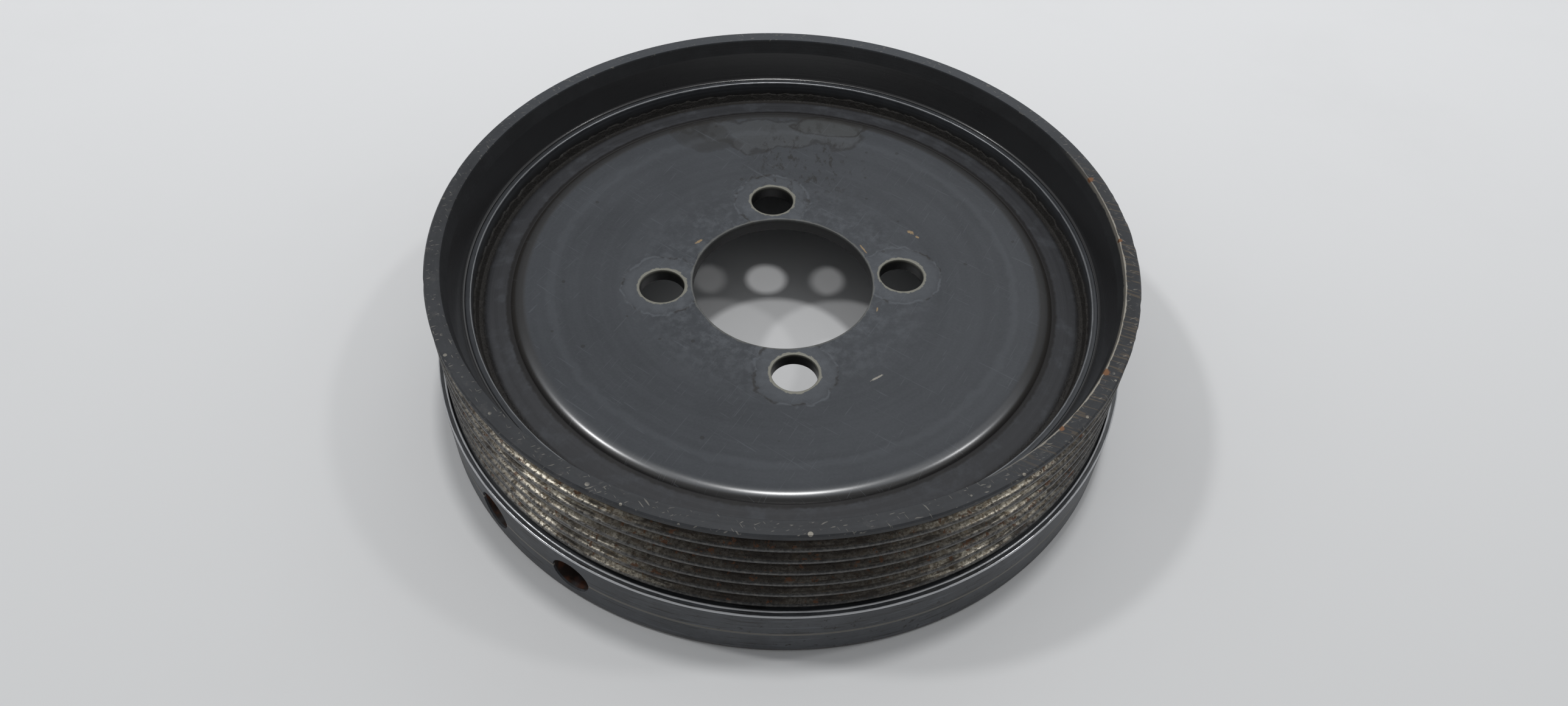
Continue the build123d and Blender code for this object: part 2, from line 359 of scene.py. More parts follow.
def fill_level(bm, height):
    """Fills the flat face at this height, between the open edges that lie there."""
    rims = [edge for edge in bm.edges if edge.is_boundary]
    rims = [edge for edge in rims if all(abs(v.co.z - height) < WELD for v in edge.verts)]
    bmesh.ops.triangle_fill(bm, use_beauty=True, edges=rims, normal=(0.0, 0.0, 1.0))


def clean(bm):
    """Merges doubles and turns every face outwards."""
    bmesh.ops.remove_doubles(bm, verts=bm.verts, dist=WELD)
    bmesh.ops.recalc_face_normals(bm, faces=bm.faces)


def new_object(name, bm):
    """A linked mesh object at the origin from this bmesh, which is freed."""
    clean(bm)
    mesh = bpy.data.meshes.new(name)
    bm.to_mesh(mesh)
    bm.free()
    made = bpy.data.objects.new(name, mesh)
    bpy.context.scene.collection.objects.link(made)
    return made


def shade_evenly(piece, sharp_angle=28.0):
    """Smooth shading with sharp corners kept and the flats left flat."""
    piece.data.shade_smooth()
    piece.data.set_sharp_from_angle(angle=math.radians(sharp_angle))
    even = piece.modifiers.new(EVEN_SHADING, "WEIGHTED_NORMAL")
    even.keep_sharp = True
    even.weight = 50


def place_piece(piece, body, nodes, materials):
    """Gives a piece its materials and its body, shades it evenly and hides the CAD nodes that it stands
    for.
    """
    for material in materials:
        piece.data.materials.append(material)
    shade_evenly(piece)
    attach(piece, body)
    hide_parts(*nodes)
    return piece


def cut_away(piece, cutters):
    """Cuts these bmeshes out of the piece and leaves only the finished mesh."""
    tools = [new_object("cutter", cutter) for cutter in cutters]
    for tool in tools:
        cut = piece.modifiers.new("Drilling", "BOOLEAN")
        cut.operation = "DIFFERENCE"
        cut.solver = "EXACT"
        cut.object = tool
    graph = bpy.context.evaluated_depsgraph_get()
    rough = piece.data
    piece.data = bpy.data.meshes.new_from_object(piece.evaluated_get(graph), depsgraph=graph)
    piece.modifiers.clear()
    bpy.data.meshes.remove(rough)
    for tool in tools:
        mesh = tool.data
        bpy.data.objects.remove(tool)
        bpy.data.meshes.remove(mesh)


def nick_edge(bm, radius, height, reach, depth, size, rarity=0.28, sharpness=4.0):
    """Small dents of this size pushed into the edge at this radius and height."""
    for vert in bm.verts:
        flat = Vector((vert.co.x, vert.co.y, 0.0))
        if abs(flat.length - radius) > reach or abs(vert.co.z - height) > reach:
            continue
        share = noise.noise(vert.co / size) - rarity
        if share > 0.0:
            vert.co -= flat.normalized() * depth * min(1.0, share * sharpness)


# --- node helpers -----------------------------------------------------------------------------------


def feed(tree, socket, value):
    """Links a socket to this input, or sets a plain value on it."""
    if isinstance(value, bpy.types.NodeSocket):
        tree.links.new(value, socket)
    else:
        socket.default_value = value


def node(tree, kind, inputs=None, **options):
    """A new node with these options and inputs."""
    made = tree.nodes.new(kind)
    for name, value in options.items():
        setattr(made, name, value)
    for name, value in (inputs or {}).items():
        feed(tree, made.inputs[name], value)
    return made


def maths(tree, operation, *values):
    """The result of a Math node."""
    made = node(tree, "ShaderNodeMath", dict(enumerate(values)), operation=operation)
    return made.outputs[0]


def vectors(tree, operation, *values):
    """The result of a Vector Math node."""
    made = node(tree, "ShaderNodeVectorMath", dict(enumerate(values)), operation=operation)
    return made.outputs["Value" if operation in ("LENGTH", "DISTANCE", "DOT_PRODUCT") else "Vector"]


def scaled(tree, vector, factor):
    """A vector times a number."""
    made = node(tree, "ShaderNodeVectorMath", {"Vector": vector, "Scale": factor}, operation="SCALE")
    return made.outputs["Vector"]


def split(tree, vector):
    """A vector's X, Y and Z."""
    return node(tree, "ShaderNodeSeparateXYZ", {"Vector": vector}).outputs


def combined(tree, x, y, z):
    """A vector from three numbers."""
    return node(tree, "ShaderNodeCombineXYZ", {"X": x, "Y": y, "Z": z}).outputs["Vector"]


def spun(tree, vector, angle):
    """A vector turned about Z."""
    inputs = {"Vector": vector, "Angle": angle}
    return node(tree, "ShaderNodeVectorRotate", inputs, rotation_type="Z_AXIS").outputs["Vector"]


def ramped(tree, value, start, end, low=0.0, high=1.0):
    """low up to start and high from end on, with a smooth rise between."""
    inputs = {"Value": value, "From Min": start, "From Max": end, "To Min": low, "To Max": high}
    return node(tree, "ShaderNodeMapRange", inputs, interpolation_type="SMOOTHSTEP").outputs["Result"]


def mixed(tree, share, first, second):
    """Two colours mixed by a share."""
    made = node(tree, "ShaderNodeMix", data_type="RGBA")
    for index, value in zip(COLOUR_SOCKETS, (share, first, second)):
        if isinstance(value, tuple) or hasattr(value, "r"):
            value = (*value[:3], 1.0)
        feed(tree, made.inputs[index], value)
    return made.outputs[COLOUR_OUTPUT]


def grain(tree, vector, scale, detail=2.0, roughness=0.5, distortion=0.0):
    """A noise value about 0.5."""
    inputs = {
        "Vector": vector,
        "Scale": scale,
        "Detail": detail,
        "Roughness": roughness,
        "Distortion": distortion,
    }
    return node(tree, "ShaderNodeTexNoise", inputs).outputs["Fac"]


def sized_grain(tree, place, size, roughness=0.5):
    """A detailed noise value about 0.5, with grains of this size."""
    near = scaled(tree, place, maths(tree, "DIVIDE", 1.0, size))
    return grain(tree, near, 1.0, 4.0, roughness)


def swing(tree, value, reach):
    """A noise value about 0.5 made to swing about zero."""
    return maths(tree, "MULTIPLY", maths(tree, "SUBTRACT", value, 0.5), reach)


def apart(tree, value, middle):
    """How far a value is from the middle, either way."""
    return maths(tree, "ABSOLUTE", maths(tree, "SUBTRACT", value, middle))


def shared_group(name, inputs, outputs=("Mask",)):
    """A new node group with these inputs at these defaults, and its input and output nodes."""
    group = bpy.data.node_groups.new(name, "ShaderNodeTree")
    for label, default in inputs.items():
        kind = VECTOR if isinstance(default, tuple) else FLOAT
        socket = group.interface.new_socket(name=label, in_out="INPUT", socket_type=kind)
        socket.default_value = default
    for label in outputs:
        kind = VECTOR if label in VECTOR_OUTPUTS else FLOAT
        group.interface.new_socket(name=label, in_out="OUTPUT", socket_type=kind)
    return group, group.nodes.new("NodeGroupInput").outputs, group.nodes.new("NodeGroupOutput").inputs


def use_group(tree, build, **inputs):
    """Places a shared group in a material, building the group the first time."""
    name = build.__name__
    group = bpy.data.node_groups.get(name) or build(name)
    labelled = {label.replace("_", " ").title(): value for label, value in inputs.items()}
    return node(tree, "ShaderNodeGroup", labelled, node_tree=group).outputs


# --- shared effects ---------------------------------------------------------------------------------


def place_on_shaft(name):
    """Where a point is: its place in millimetres, its radius, height and direction round the shaft."""
    tree, _, out = shared_group(name, {}, ("Place", "Radius", "Height", "Direction", "Angle"))
    where = node(tree, "ShaderNodeTexCoord").outputs["Object"]
    place = scaled(tree, where, 1.0 / MM)
    along = split(tree, place)
    flat = combined(tree, along["X"], along["Y"], 0.0)
    feed(tree, out["Place"], place)
    feed(tree, out["Radius"], vectors(tree, "LENGTH", flat))
    feed(tree, out["Height"], along["Z"])
    feed(tree, out["Direction"], vectors(tree, "NORMALIZE", flat))
    feed(tree, out["Angle"], maths(tree, "DEGREES", maths(tree, "ARCTAN2", along["Y"], along["X"])))
    return tree


def turned_lines(name):
    """Fine lines that a lathe tool leaves round the shaft."""
    inputs = {"Radius": 0.0, "Height": 0.0, "Direction": NOWHERE, "Lines Per Mm": 2.0, "Waver": 0.6}
    tree, given, out = shared_group(name, inputs, ("Lines",))
    way = split(tree, scaled(tree, given["Direction"], given["Waver"]))
    radius = maths(tree, "MULTIPLY", given["Radius"], given["Lines Per Mm"])
    height = maths(tree, "MULTIPLY", given["Height"], given["Lines Per Mm"])
    inputs = {
        "Vector": combined(tree, radius, height, way["X"]),
        "W": way["Y"],
        "Scale": 1.0,
        "Detail": 2.5,
        "Roughness": 0.6,
    }
    lines = node(tree, "ShaderNodeTexNoise", inputs, noise_dimensions="4D").outputs["Fac"]
    feed(tree, out["Lines"], ramped(tree, lines, 0.3, 0.7))
    return tree


def blotches(name):
    """Ragged blotches of one size, over a share of the surface set by the threshold."""
    inputs = {"Place": NOWHERE, "Size": 4.0, "Threshold": 0.5, "Softness": 0.1, "Roughness": 0.6}
    tree, given, out = shared_group(name, inputs)
    value = sized_grain(tree, given["Place"], given["Size"], given["Roughness"])
    end = maths(tree, "ADD", given["Threshold"], given["Softness"])
    feed(tree, out["Mask"], ramped(tree, value, given["Threshold"], end))
    return tree


def patch(name):
    """One ragged patch about a centre, with its half sizes along X, Y and Z, all in millimetres."""
    inputs = {
        "Place": NOWHERE,
        "Centre": NOWHERE,
        "Turn": 0.0,
        "Half Size": (1.0, 1.0, 1.0),
        "Raggedness": 0.6,
        "Grain Size": 1.0,
        "Edge": 0.2,
    }
    tree, given, out = shared_group(name, inputs, ("Mask", "Outline"))
    away = spun(tree, vectors(tree, "SUBTRACT", given["Place"], given["Centre"]), given["Turn"])
    reach = vectors(tree, "LENGTH", vectors(tree, "DIVIDE", away, given["Half Size"]))
    ragged = sized_grain(tree, given["Place"], given["Grain Size"])
    reach = maths(tree, "ADD", reach, swing(tree, ragged, given["Raggedness"]))
    start = maths(tree, "SUBTRACT", 1.0, given["Edge"])
    feed(tree, out["Mask"], ramped(tree, reach, start, 1.0, 1.0, 0.0))
    feed(tree, out["Outline"], ramped(tree, apart(tree, reach, 1.0), 0.0, given["Edge"], 1.0, 0.0))
    return tree


def scratches(name):
    """Thin straight scratches along one direction."""
    inputs = {"Place": NOWHERE, "Turn": 0.0, "Length": 8.0, "Width": 0.25, "Threshold": 0.68}
    tree, given, out = shared_group(name, inputs)
    size = combined(tree, given["Length"], given["Width"], given["Length"])
    drawn = vectors(tree, "DIVIDE", spun(tree, given["Place"], given["Turn"]), size)
    value = grain(tree, drawn, 1.0, 1.0, 0.4, 0.3)
    end = maths(tree, "ADD", given["Threshold"], 0.05)
    feed(tree, out["Mask"], ramped(tree, value, given["Threshold"], end))
    return tree


def worn_edge(name):
    """Coat worn off within a ragged distance of an edge, in millimetres."""
    inputs = {"Place": NOWHERE, "Distance": 0.0, "Reach": 0.5, "Raggedness": 1.5, "Grain Size": 1.0}
    tree, given, out = shared_group(name, inputs)
    ragged = swing(tree, sized_grain(tree, given["Place"], given["Grain Size"], 0.6), 2.0)
    ragged = maths(tree, "MULTIPLY_ADD", ragged, given["Raggedness"], 1.0)
    reach = maths(tree, "MULTIPLY", given["Reach"], ragged)
    left = maths(tree, "SUBTRACT", reach, given["Distance"])
    feed(tree, out["Mask"], ramped(tree, left, 0.0, maths(tree, "MULTIPLY", given["Reach"], 0.35)))
    return tree


def specks(name):
    """Sparse round specks: one cell in a few holds one."""
    inputs = {"Place": NOWHERE, "Spacing": 3.0, "Speck Size": 0.2, "Share": 0.3}
    tree, given, out = shared_group(name, inputs)
    near = scaled(tree, given["Place"], maths(tree, "DIVIDE", 1.0, given["Spacing"]))
    cells = node(tree, "ShaderNodeTexVoronoi", {"Vector": near, "Scale": 1.0}).outputs
    size = maths(tree, "DIVIDE", given["Speck Size"], given["Spacing"])
    pick = node(tree, "ShaderNodeSeparateColor", {"Color": cells["Color"]}).outputs
    radius = maths(tree, "MULTIPLY", size, pick["Green"])
    inside = ramped(tree, maths(tree, "SUBTRACT", cells["Distance"], radius), 0.0, 0.03, 1.0, 0.0)
    kept = maths(tree, "LESS_THAN", pick["Red"], given["Share"])
    feed(tree, out["Mask"], maths(tree, "MULTIPLY", inside, kept))
    return tree


def band(name):
    """A soft band about one value, with its edge wavering over the surface."""
    inputs = {"Place": NOWHERE, "Value": 0.0, "Middle": 0.0, "Half Width": 1.0}
    tree, given, out = shared_group(name, inputs | {"Softness": 0.5, "Waver": 0.0})
    wobble = swing(tree, grain(tree, given["Place"], 0.35, 3.0), given["Waver"])
    away = apart(tree, maths(tree, "ADD", given["Value"], wobble), given["Middle"])
    end = maths(tree, "ADD", given["Half Width"], given["Softness"])
    feed(tree, out["Mask"], ramped(tree, away, given["Half Width"], end, 1.0, 0.0))
    return tree


# --- materials --------------------------------------------------------------------------------------


def on_circle(radius, degrees, height=0.0):
    """A place in millimetres at this radius and angle."""
    angle = math.radians(degrees)
    return (radius * math.cos(angle), radius * math.sin(angle), height)


def times_colour(shade, factor):
    """A colour made lighter or darker."""
    return tuple(part * factor for part in shade)


class Paint:
    """A material under way: each effect is laid over the tone, or adds to the relief in millimetres."""

    def __init__(self, name, **constants):
        """Starts a material; the constants are set on the shader's own sockets."""
        self.material = bpy.data.materials.new(name)
        self.material.use_nodes = True
        self.tree = self.material.node_tree
        self.shader = self.tree.nodes["Principled BSDF"].inputs
        for label, value in constants.items():
            self.shader[label.replace("_", " ").title().replace("Ior", "IOR")].default_value = value
        at = use_group(self.tree, place_on_shaft)
        self.place = at["Place"]
        self.radius = at["Radius"]
        self.height = at["Height"]
        self.direction = at["Direction"]
        self.angle = at["Angle"]
        self.tone = None
        self.relief = 0.0

    def times(self, first, *others):
        """The product of these values."""
        for value in others:
            first = maths(self.tree, "MULTIPLY", first, value)
        return first

    def larger(self, first, second):
        """The larger of two values."""
        return maths(self.tree, "MAXIMUM", first, second)

    def rest(self, mask):
        """Everything but the mask."""
        return maths(self.tree, "SUBTRACT", 1.0, mask)

    def beyond(self, value, start):
        """How far a value is past the start."""
        return maths(self.tree, "SUBTRACT", value, start)

    def varied(self, base, value, by):
        """A base value plus a share of another value."""
        return maths(self.tree, "MULTIPLY_ADD", value, by, base)

    def rise(self, value, between, low=0.0, high=1.0):
        """low before these two values and high after them."""
        return ramped(self.tree, value, *between, low, high)

    def fall(self, value, between):
        """One before these two values and zero after them."""
        return ramped(self.tree, value, *between, 1.0, 0.0)

    def blend(self, share, first, second):
        """Two numbers mixed by a share."""
        inputs = dict(zip(NUMBER_SOCKETS, (share, first, second)))
        return node(self.tree, "ShaderNodeMix", inputs, data_type="FLOAT").outputs[0]

    def grain(self, scale, detail, roughness=0.5):
        """Noise over the surface."""
        return grain(self.tree, self.place, scale, detail, roughness)

    def facing(self, degrees):
        """How far the direction round the shaft is towards this angle, as a cosine."""
        return vectors(self.tree, "DOT_PRODUCT", self.direction, on_circle(1.0, degrees))

    def lines(self, per_mm, waver):
        """Turned lines round the shaft."""
        spot = {"radius": self.radius, "height": self.height, "direction": self.direction}
        return use_group(self.tree, turned_lines, **spot, lines_per_mm=per_mm, waver=waver)["Lines"]

    def effect(self, build, **inputs):
        """The mask of a shared effect."""
        return use_group(self.tree, build, **{"place": self.place, **inputs})["Mask"]

    def start(self, share, first, second):
        """A fresh tone, mixed from two colours."""
        self.tone = mixed(self.tree, share, first, second)

    def lay(self, mask, shade, strength):
        """Lays a shade over the tone where the mask is."""
        self.tone = mixed(self.tree, self.times(mask, strength), self.tone, shade)

    def lift(self, mask, by):
        """Raises the relief where the mask is, or lowers it."""
        self.relief = maths(self.tree, "MULTIPLY_ADD", mask, by, self.relief)

    def finished(self, **sockets):
        """The material, with the tone, the relief and these sockets fed to the shader."""
        feed(self.tree, self.shader["Base Color"], self.tone)
        for label, value in sockets.items():
            feed(self.tree, self.shader[label.replace("_", " ").title()], value)
        inputs = {"Strength": 1.0, "Distance": MM, "Height": self.relief}
        bump = node(self.tree, "ShaderNodeBump", inputs)
        feed(self.tree, self.shader["Normal"], bump.outputs["Normal"])
        return self.material


def nearest_hole(paint, hub):
    """Distance from the nearest bolt hole's centre, in millimetres."""
    tree = paint.tree
    half_step = 180.0 / hub.bolt_count
    from_first = maths(tree, "SUBTRACT", paint.angle, math.degrees(hub.first_bolt))
    angle = maths(tree, "RADIANS", maths(tree, "WRAP", from_first, half_step, -half_step))
    x = maths(tree, "MULTIPLY", paint.radius, maths(tree, "COSINE", angle))
    y = maths(tree, "MULTIPLY", paint.radius, maths(tree, "SINE", angle))
    x = maths(tree, "SUBTRACT", x, hub.bolt_circle / MM)
    return vectors(tree, "LENGTH", combined(tree, x, y, 0.0))


def hub_coat():
    """Slate dip coat: scuffed round the bore, with washer prints, flecks and an oil stain, and painted
    shade on the steep shoulder, its unlit side and the hole walls.
    """
    finish = settings().finish
    hub = settings().hub
    paint = Paint("hub dip coat", specular_ior_level=0.42, coat_roughness=0.25, coat_ior=1.8)
    pale = finish.coat_pale
    lines = paint.lines(per_mm=0.55, waver=0.5)
    fine = paint.grain(scale=2.2, detail=3.0, roughness=0.7)
    mottle = paint.grain(scale=0.07, detail=4.0, roughness=0.6)
    front = paint.rise(paint.height, between=(1.6, 2.6))
    hole = nearest_hole(paint, hub)

    paint.start(paint.rise(mottle, between=(0.3, 0.7)), finish.coat, times_colour(finish.coat, 1.22))
    paint.lay(fine, pale, strength=0.28)
    paint.lay(lines, pale, strength=0.10)
    scuff = paint.effect(blotches, size=2.2, threshold=0.42, softness=0.26, roughness=0.75)
    scuff = paint.times(scuff, paint.fall(paint.radius, between=(19.0, 36.0)), front)
    paint.lay(scuff, pale, strength=0.45)

    smear = paint.effect(band, value=hole, middle=5.4, half_width=1.2, softness=1.8, waver=3.2)
    smear = paint.times(smear, front)
    paint.lay(smear, pale, strength=0.30)
    print_line = paint.effect(band, value=hole, middle=8.1, half_width=0.05, softness=0.42, waver=3.0)
    print_line = paint.times(print_line, front)
    broken = paint.effect(blotches, size=4.5, threshold=0.46, softness=0.14, roughness=0.6)
    paint.lay(paint.times(print_line, paint.rest(broken)), pale, strength=0.55)
    print_line = paint.times(print_line, broken)
    paint.lay(print_line, finish.grime, strength=0.7)

    for centre, half_size, strength, outline_strength, shade in STAINS:
        where = {"place": paint.place, "centre": centre, "half_size": half_size}
        stain = use_group(paint.tree, patch, **where, raggedness=2.2, grain_size=8.0, edge=0.16)
        paint.lay(stain["Mask"], shade, strength)
        paint.lay(stain["Outline"], finish.grime, outline_strength)
    drawn = vectors(paint.tree, "MULTIPLY", paint.place, (1.0, 0.5, 1.0))
    damp = paint.effect(blotches, place=drawn, size=1.5, threshold=0.53, softness=0.12, roughness=0.7)
    from_stain = vectors(paint.tree, "DISTANCE", paint.place, on_circle(37.0, 84.0, 4.0))
    damp = paint.times(damp, paint.fall(from_stain, between=(5.0, 19.0)), front)
    paint.lay(damp, finish.grime, strength=0.75)
    wave = paint.effect(band, value=paint.radius, middle=46.5, half_width=0.2, softness=1.1, waver=2.5)
    paint.lay(wave, pale, strength=0.16)
    # Painted shade: the steep outer part of the shoulder is painted near black, standing in for its
    # dark reflection.
    painted_shoulder_shade = paint.rise(paint.radius, between=(52.9, 53.4))
    painted_shoulder_shade = paint.times(painted_shoulder_shade, paint.rise(paint.height, between=(1.0, 1.5)))
    paint.lay(painted_shoulder_shade, SHOULDER_PAINTED_SHADE, strength=0.95)

    dots = paint.effect(specks, spacing=3.4, speck_size=0.42, share=0.22)
    paint.lay(dots, finish.grime, strength=0.5)
    marks = paint.effect(scratches, turn=0.6, length=9.0, width=0.3, threshold=0.70)
    across = paint.effect(scratches, turn=-1.1, length=6.0, width=0.25, threshold=0.70)
    paint.lay(paint.larger(marks, across), pale, strength=0.3)
    for radius, degrees, lies, size, shade in FLECKS:
        centre = on_circle(radius, degrees, hub.plate / MM)
        turn = math.radians(-lies)
        fleck = paint.effect(
            patch, centre=centre, turn=turn, half_size=size, raggedness=1.3, grain_size=0.5, edge=0.35
        )
        paint.lay(fleck, getattr(finish, shade), strength=0.85)

    from_hole = paint.beyond(hole, (hub.bolt_hole + hub.edge) / MM)
    bare = paint.effect(worn_edge, distance=from_hole, reach=0.44, raggedness=1.5, grain_size=1.3)
    from_bore = paint.beyond(paint.radius, (hub.bore + hub.edge) / MM)
    bore_bare = paint.effect(worn_edge, distance=from_bore, reach=0.22, raggedness=2.4, grain_size=2.4)
    bare = paint.times(paint.larger(bare, paint.times(bore_bare, 0.3)), front)
    paint.lay(bare, finish.edge_metal, strength=0.9)
    # Painted shade down the walls of the bore and the bolt holes.
    inside = paint.fall(paint.height, between=(2.3, 2.9))
    shaded_hole_walls = paint.larger(
        paint.fall(hole, between=(4.7, 4.9)), paint.fall(paint.radius, between=(18.4, 18.6))
    )
    paint.lay(paint.times(inside, shaded_hole_walls), HOLE_WALL_PAINTED_SHADE, strength=0.9)

    shoulder = paint.rise(paint.radius, between=(51.2, 52.4))
    lit = paint.rise(paint.facing(-93.0), between=(0.30, 0.80))
    # Painted shade on the shoulder's edge where it faces away from the lamps.
    unlit_edge = paint.times(paint.rise(paint.radius, between=(50.9, 51.9)), paint.rest(lit))
    paint.lay(unlit_edge, finish.grime, strength=0.7)
    sheen = paint.varied(0.32, mottle, by=0.12)
    sheen = paint.blend(paint.larger(scuff, smear), sheen, 0.52)
    sheen = paint.blend(shoulder, sheen, 0.30)
    sheen = paint.blend(unlit_edge, sheen, 0.62)
    paint.lift(fine, by=0.010)
    paint.lift(lines, by=0.006)
    paint.lift(scuff, by=0.02)
    paint.lift(print_line, by=-0.03)
    paint.lift(bare, by=-0.03)
    return paint.finished(
        coat_weight=paint.times(shoulder, lit, 0.9),
        roughness=paint.blend(bare, sheen, 0.48),
        metallic=paint.times(bare, 0.35),
    )


def belt_ring_coat():
    """Charcoal coat: turned cone, chipped outer edge, and an inner edge worn bright on the right, with
    painted shade in the recess and a painted sheen on the far side of the rim's flat.
    """
    finish = settings().finish
    paint = Paint("belt ring coat", specular_ior_level=0.32, coat_roughness=0.16)
    pale = finish.coat_pale
    lines = paint.lines(per_mm=3.2, waver=0.4)
    broad = paint.lines(per_mm=0.9, waver=1.2)
    mottle = paint.grain(scale=0.16, detail=4.0, roughness=0.65)
    fine = paint.grain(scale=1.8, detail=3.0, roughness=0.7)
    rim_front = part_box("belt_pulley")[1].z / MM
    rim_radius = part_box("belt_pulley")[1].x / MM
    rim = paint.rise(paint.height, between=(rim_front - 0.5, rim_front - 0.1))
    wall = paint.fall(paint.height, between=(12.6, 13.2))

    paint.start(
        paint.rise(mottle, between=(0.3, 0.7)), finish.ring_coat, times_colour(finish.ring_coat, 1.5)
    )
    paint.lay(fine, pale, strength=0.12)
    # Painted shade down the recess wall.
    paint.lay(wall, RECESS_WALL_PAINTED_SHADE, strength=0.85)
    paint.lay(paint.times(broad, rim), pale, strength=0.08)
    backwards = split(paint.tree, paint.direction)["Y"]
    flat = paint.rise(paint.radius, between=(65.2, 65.4))
    # Painted shade over the cone and the wall inside the rim's flat.
    paint.lay(paint.rest(flat), finish.grime, strength=0.3)
    # Painted sheen: the rim's flat is made paler towards the far side, away from the camera.
    dust_and_sheen = paint.times(paint.rise(backwards, between=(0.1, 0.9)), flat, rim)
    paint.lay(dust_and_sheen, pale, strength=0.36)

    rubbed = paint.effect(blotches, size=3.0, threshold=0.56, softness=0.16, roughness=0.7)
    rubbed = paint.times(rubbed, rim)
    paint.lay(rubbed, RUBBED_SHADE, strength=0.20)
    chips = paint.effect(specks, spacing=1.5, speck_size=0.46, share=0.36)
    near_edge = paint.fall(apart(paint.tree, paint.radius, rim_radius - 0.55), between=(0.25, 1.3))
    front_side = paint.rise(backwards, between=(-0.75, 0.1), low=1.0, high=0.25)
    chips = paint.times(chips, near_edge, rim, front_side)
    paint.lay(chips, finish.bare, strength=0.75)
    nicks = paint.effect(scratches, turn=0.9, length=2.0, width=0.3, threshold=0.70)
    across = paint.effect(scratches, turn=-0.4, length=1.6, width=0.35, threshold=0.68)
    paint.lay(paint.times(paint.larger(nicks, across), rim), finish.bare, strength=0.35)

    right = paint.rise(paint.facing(-16.0), between=(0.70, 0.95))
    from_edge = apart(paint.tree, paint.radius, 65.35)
    bright = paint.effect(worn_edge, distance=from_edge, reach=0.30, raggedness=1.3, grain_size=2.5)
    upper = paint.rise(paint.height, between=(rim_front - 1.0, rim_front - 0.4))
    bright = paint.times(bright, right, upper)
    paint.lay(bright, finish.bare, strength=1.0)
    streaks = paint.effect(scratches, turn=0.35, length=5.0, width=0.5, threshold=0.58)
    paint.lay(paint.times(streaks, right, rim), finish.tan, strength=0.16)
    for degrees, size in RIM_RUST:
        centre = on_circle(65.6, degrees, rim_front)
        spot = paint.effect(
            patch, centre=centre, half_size=(size, size, 1.2), raggedness=1.2, grain_size=0.8, edge=0.4
        )
        paint.lay(spot, finish.rust, strength=0.9)

    gloss = paint.varied(paint.blend(wall, 0.46, 0.24), mottle, by=0.10)
    paint.lift(lines, by=0.006)
    paint.lift(fine, by=0.012)
    paint.lift(chips, by=-0.05)
    paint.lift(rubbed, by=-0.01)
    return paint.finished(
        coat_weight=paint.times(wall, 0.8),
        roughness=paint.blend(bright, gloss, 0.35),
        metallic=paint.times(paint.larger(bright, chips), 0.6),
    )


def groove_metal():
    """Groove flanks polished by the belt, speckled with rust and dirt, over dark roots, with painted
    shade towards the camera and round the sides, and a tip line that is partly painted shadow.
    """
    finish = settings().finish
    paint = Paint("worn groove metal", specular_ior_level=0.5)
    tree = paint.tree
    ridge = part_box("belt_pulley")[1].x / MM
    root = ridge - settings().belt_ring.groove_depth / MM
    lines = paint.lines(per_mm=2.2, waver=3.0)
    streaks = paint.lines(per_mm=1.5, waver=11.0)
    speckle = paint.grain(scale=1.6, detail=4.0, roughness=0.7)
    cloud = paint.grain(scale=0.10, detail=3.0, roughness=0.6)
    flank = paint.rise(paint.radius, between=(root + 1.1, root + 2.0))
    # The coat left on the ridge tips, laid a little deeper than the tips: partly real coat, partly
    # painted shadow under each ridge.
    tip = paint.rise(paint.radius, between=(ridge - 0.42, ridge - 0.20))

    paint.start(paint.rise(speckle, between=(0.40, 0.60)), FLANK_SHADE, POLISHED_SHADE)
    tan = paint.effect(blotches, size=1.7, threshold=0.52, softness=0.12, roughness=0.7)
    paint.lay(tan, finish.tan, strength=0.75)
    rust = paint.effect(blotches, size=1.9, threshold=0.585, softness=0.06, roughness=0.65)
    paint.lay(rust, finish.rust, strength=0.9)
    metal = paint.tone

    crust = paint.effect(blotches, size=0.8, threshold=0.52, softness=0.14, roughness=0.7)
    smeared = paint.rise(streaks, between=(0.50, 0.95), low=0.0, high=0.8)
    dirt_and_painted_shade = paint.larger(paint.times(crust, 0.6), smeared)
    # Painted shade: the grooves are darkened where they face the camera, standing in for the dark
    # reflection there, and darkened again round the sides and back, so only two zones either side stay
    # bright.
    camera_side_painted_shade = paint.rise(paint.facing(-88.0), between=(0.90, 0.985))
    dirt_and_painted_shade = paint.blend(paint.times(camera_side_painted_shade, 0.85), dirt_and_painted_shade, 1.0)
    round_side = paint.varied(paint.facing(-90.0), cloud, by=0.35)
    dirt_and_painted_shade = paint.blend(paint.rise(round_side, between=(0.82, 0.98), low=0.62, high=0.0), dirt_and_painted_shade, 1.0)
    patches = paint.rise(cloud, between=(0.42, 0.66), low=1.0, high=0.35)
    worn = paint.times(flank, paint.rest(dirt_and_painted_shade), patches)
    paint.start(worn, mixed(tree, rust, ROOT_SHADE, ROOT_RUST), metal)
    tip_wear = paint.rise(speckle, between=(0.42, 0.62), low=0.10, high=0.60)
    paint.lay(tip, mixed(tree, tip_wear, finish.ring_coat, TIP_SHADE), strength=0.9)

    clean_metal = paint.times(worn, paint.rest(paint.larger(rust, tan)), paint.rest(tip))
    rough = paint.varied(paint.blend(worn, 0.60, 0.44), crust, by=0.12)
    paint.lift(lines, by=0.015)
    paint.lift(crust, by=0.06)
    paint.lift(speckle, by=0.04)
    return paint.finished(metallic=clean_metal, roughness=paint.blend(tip, rough, 0.36))


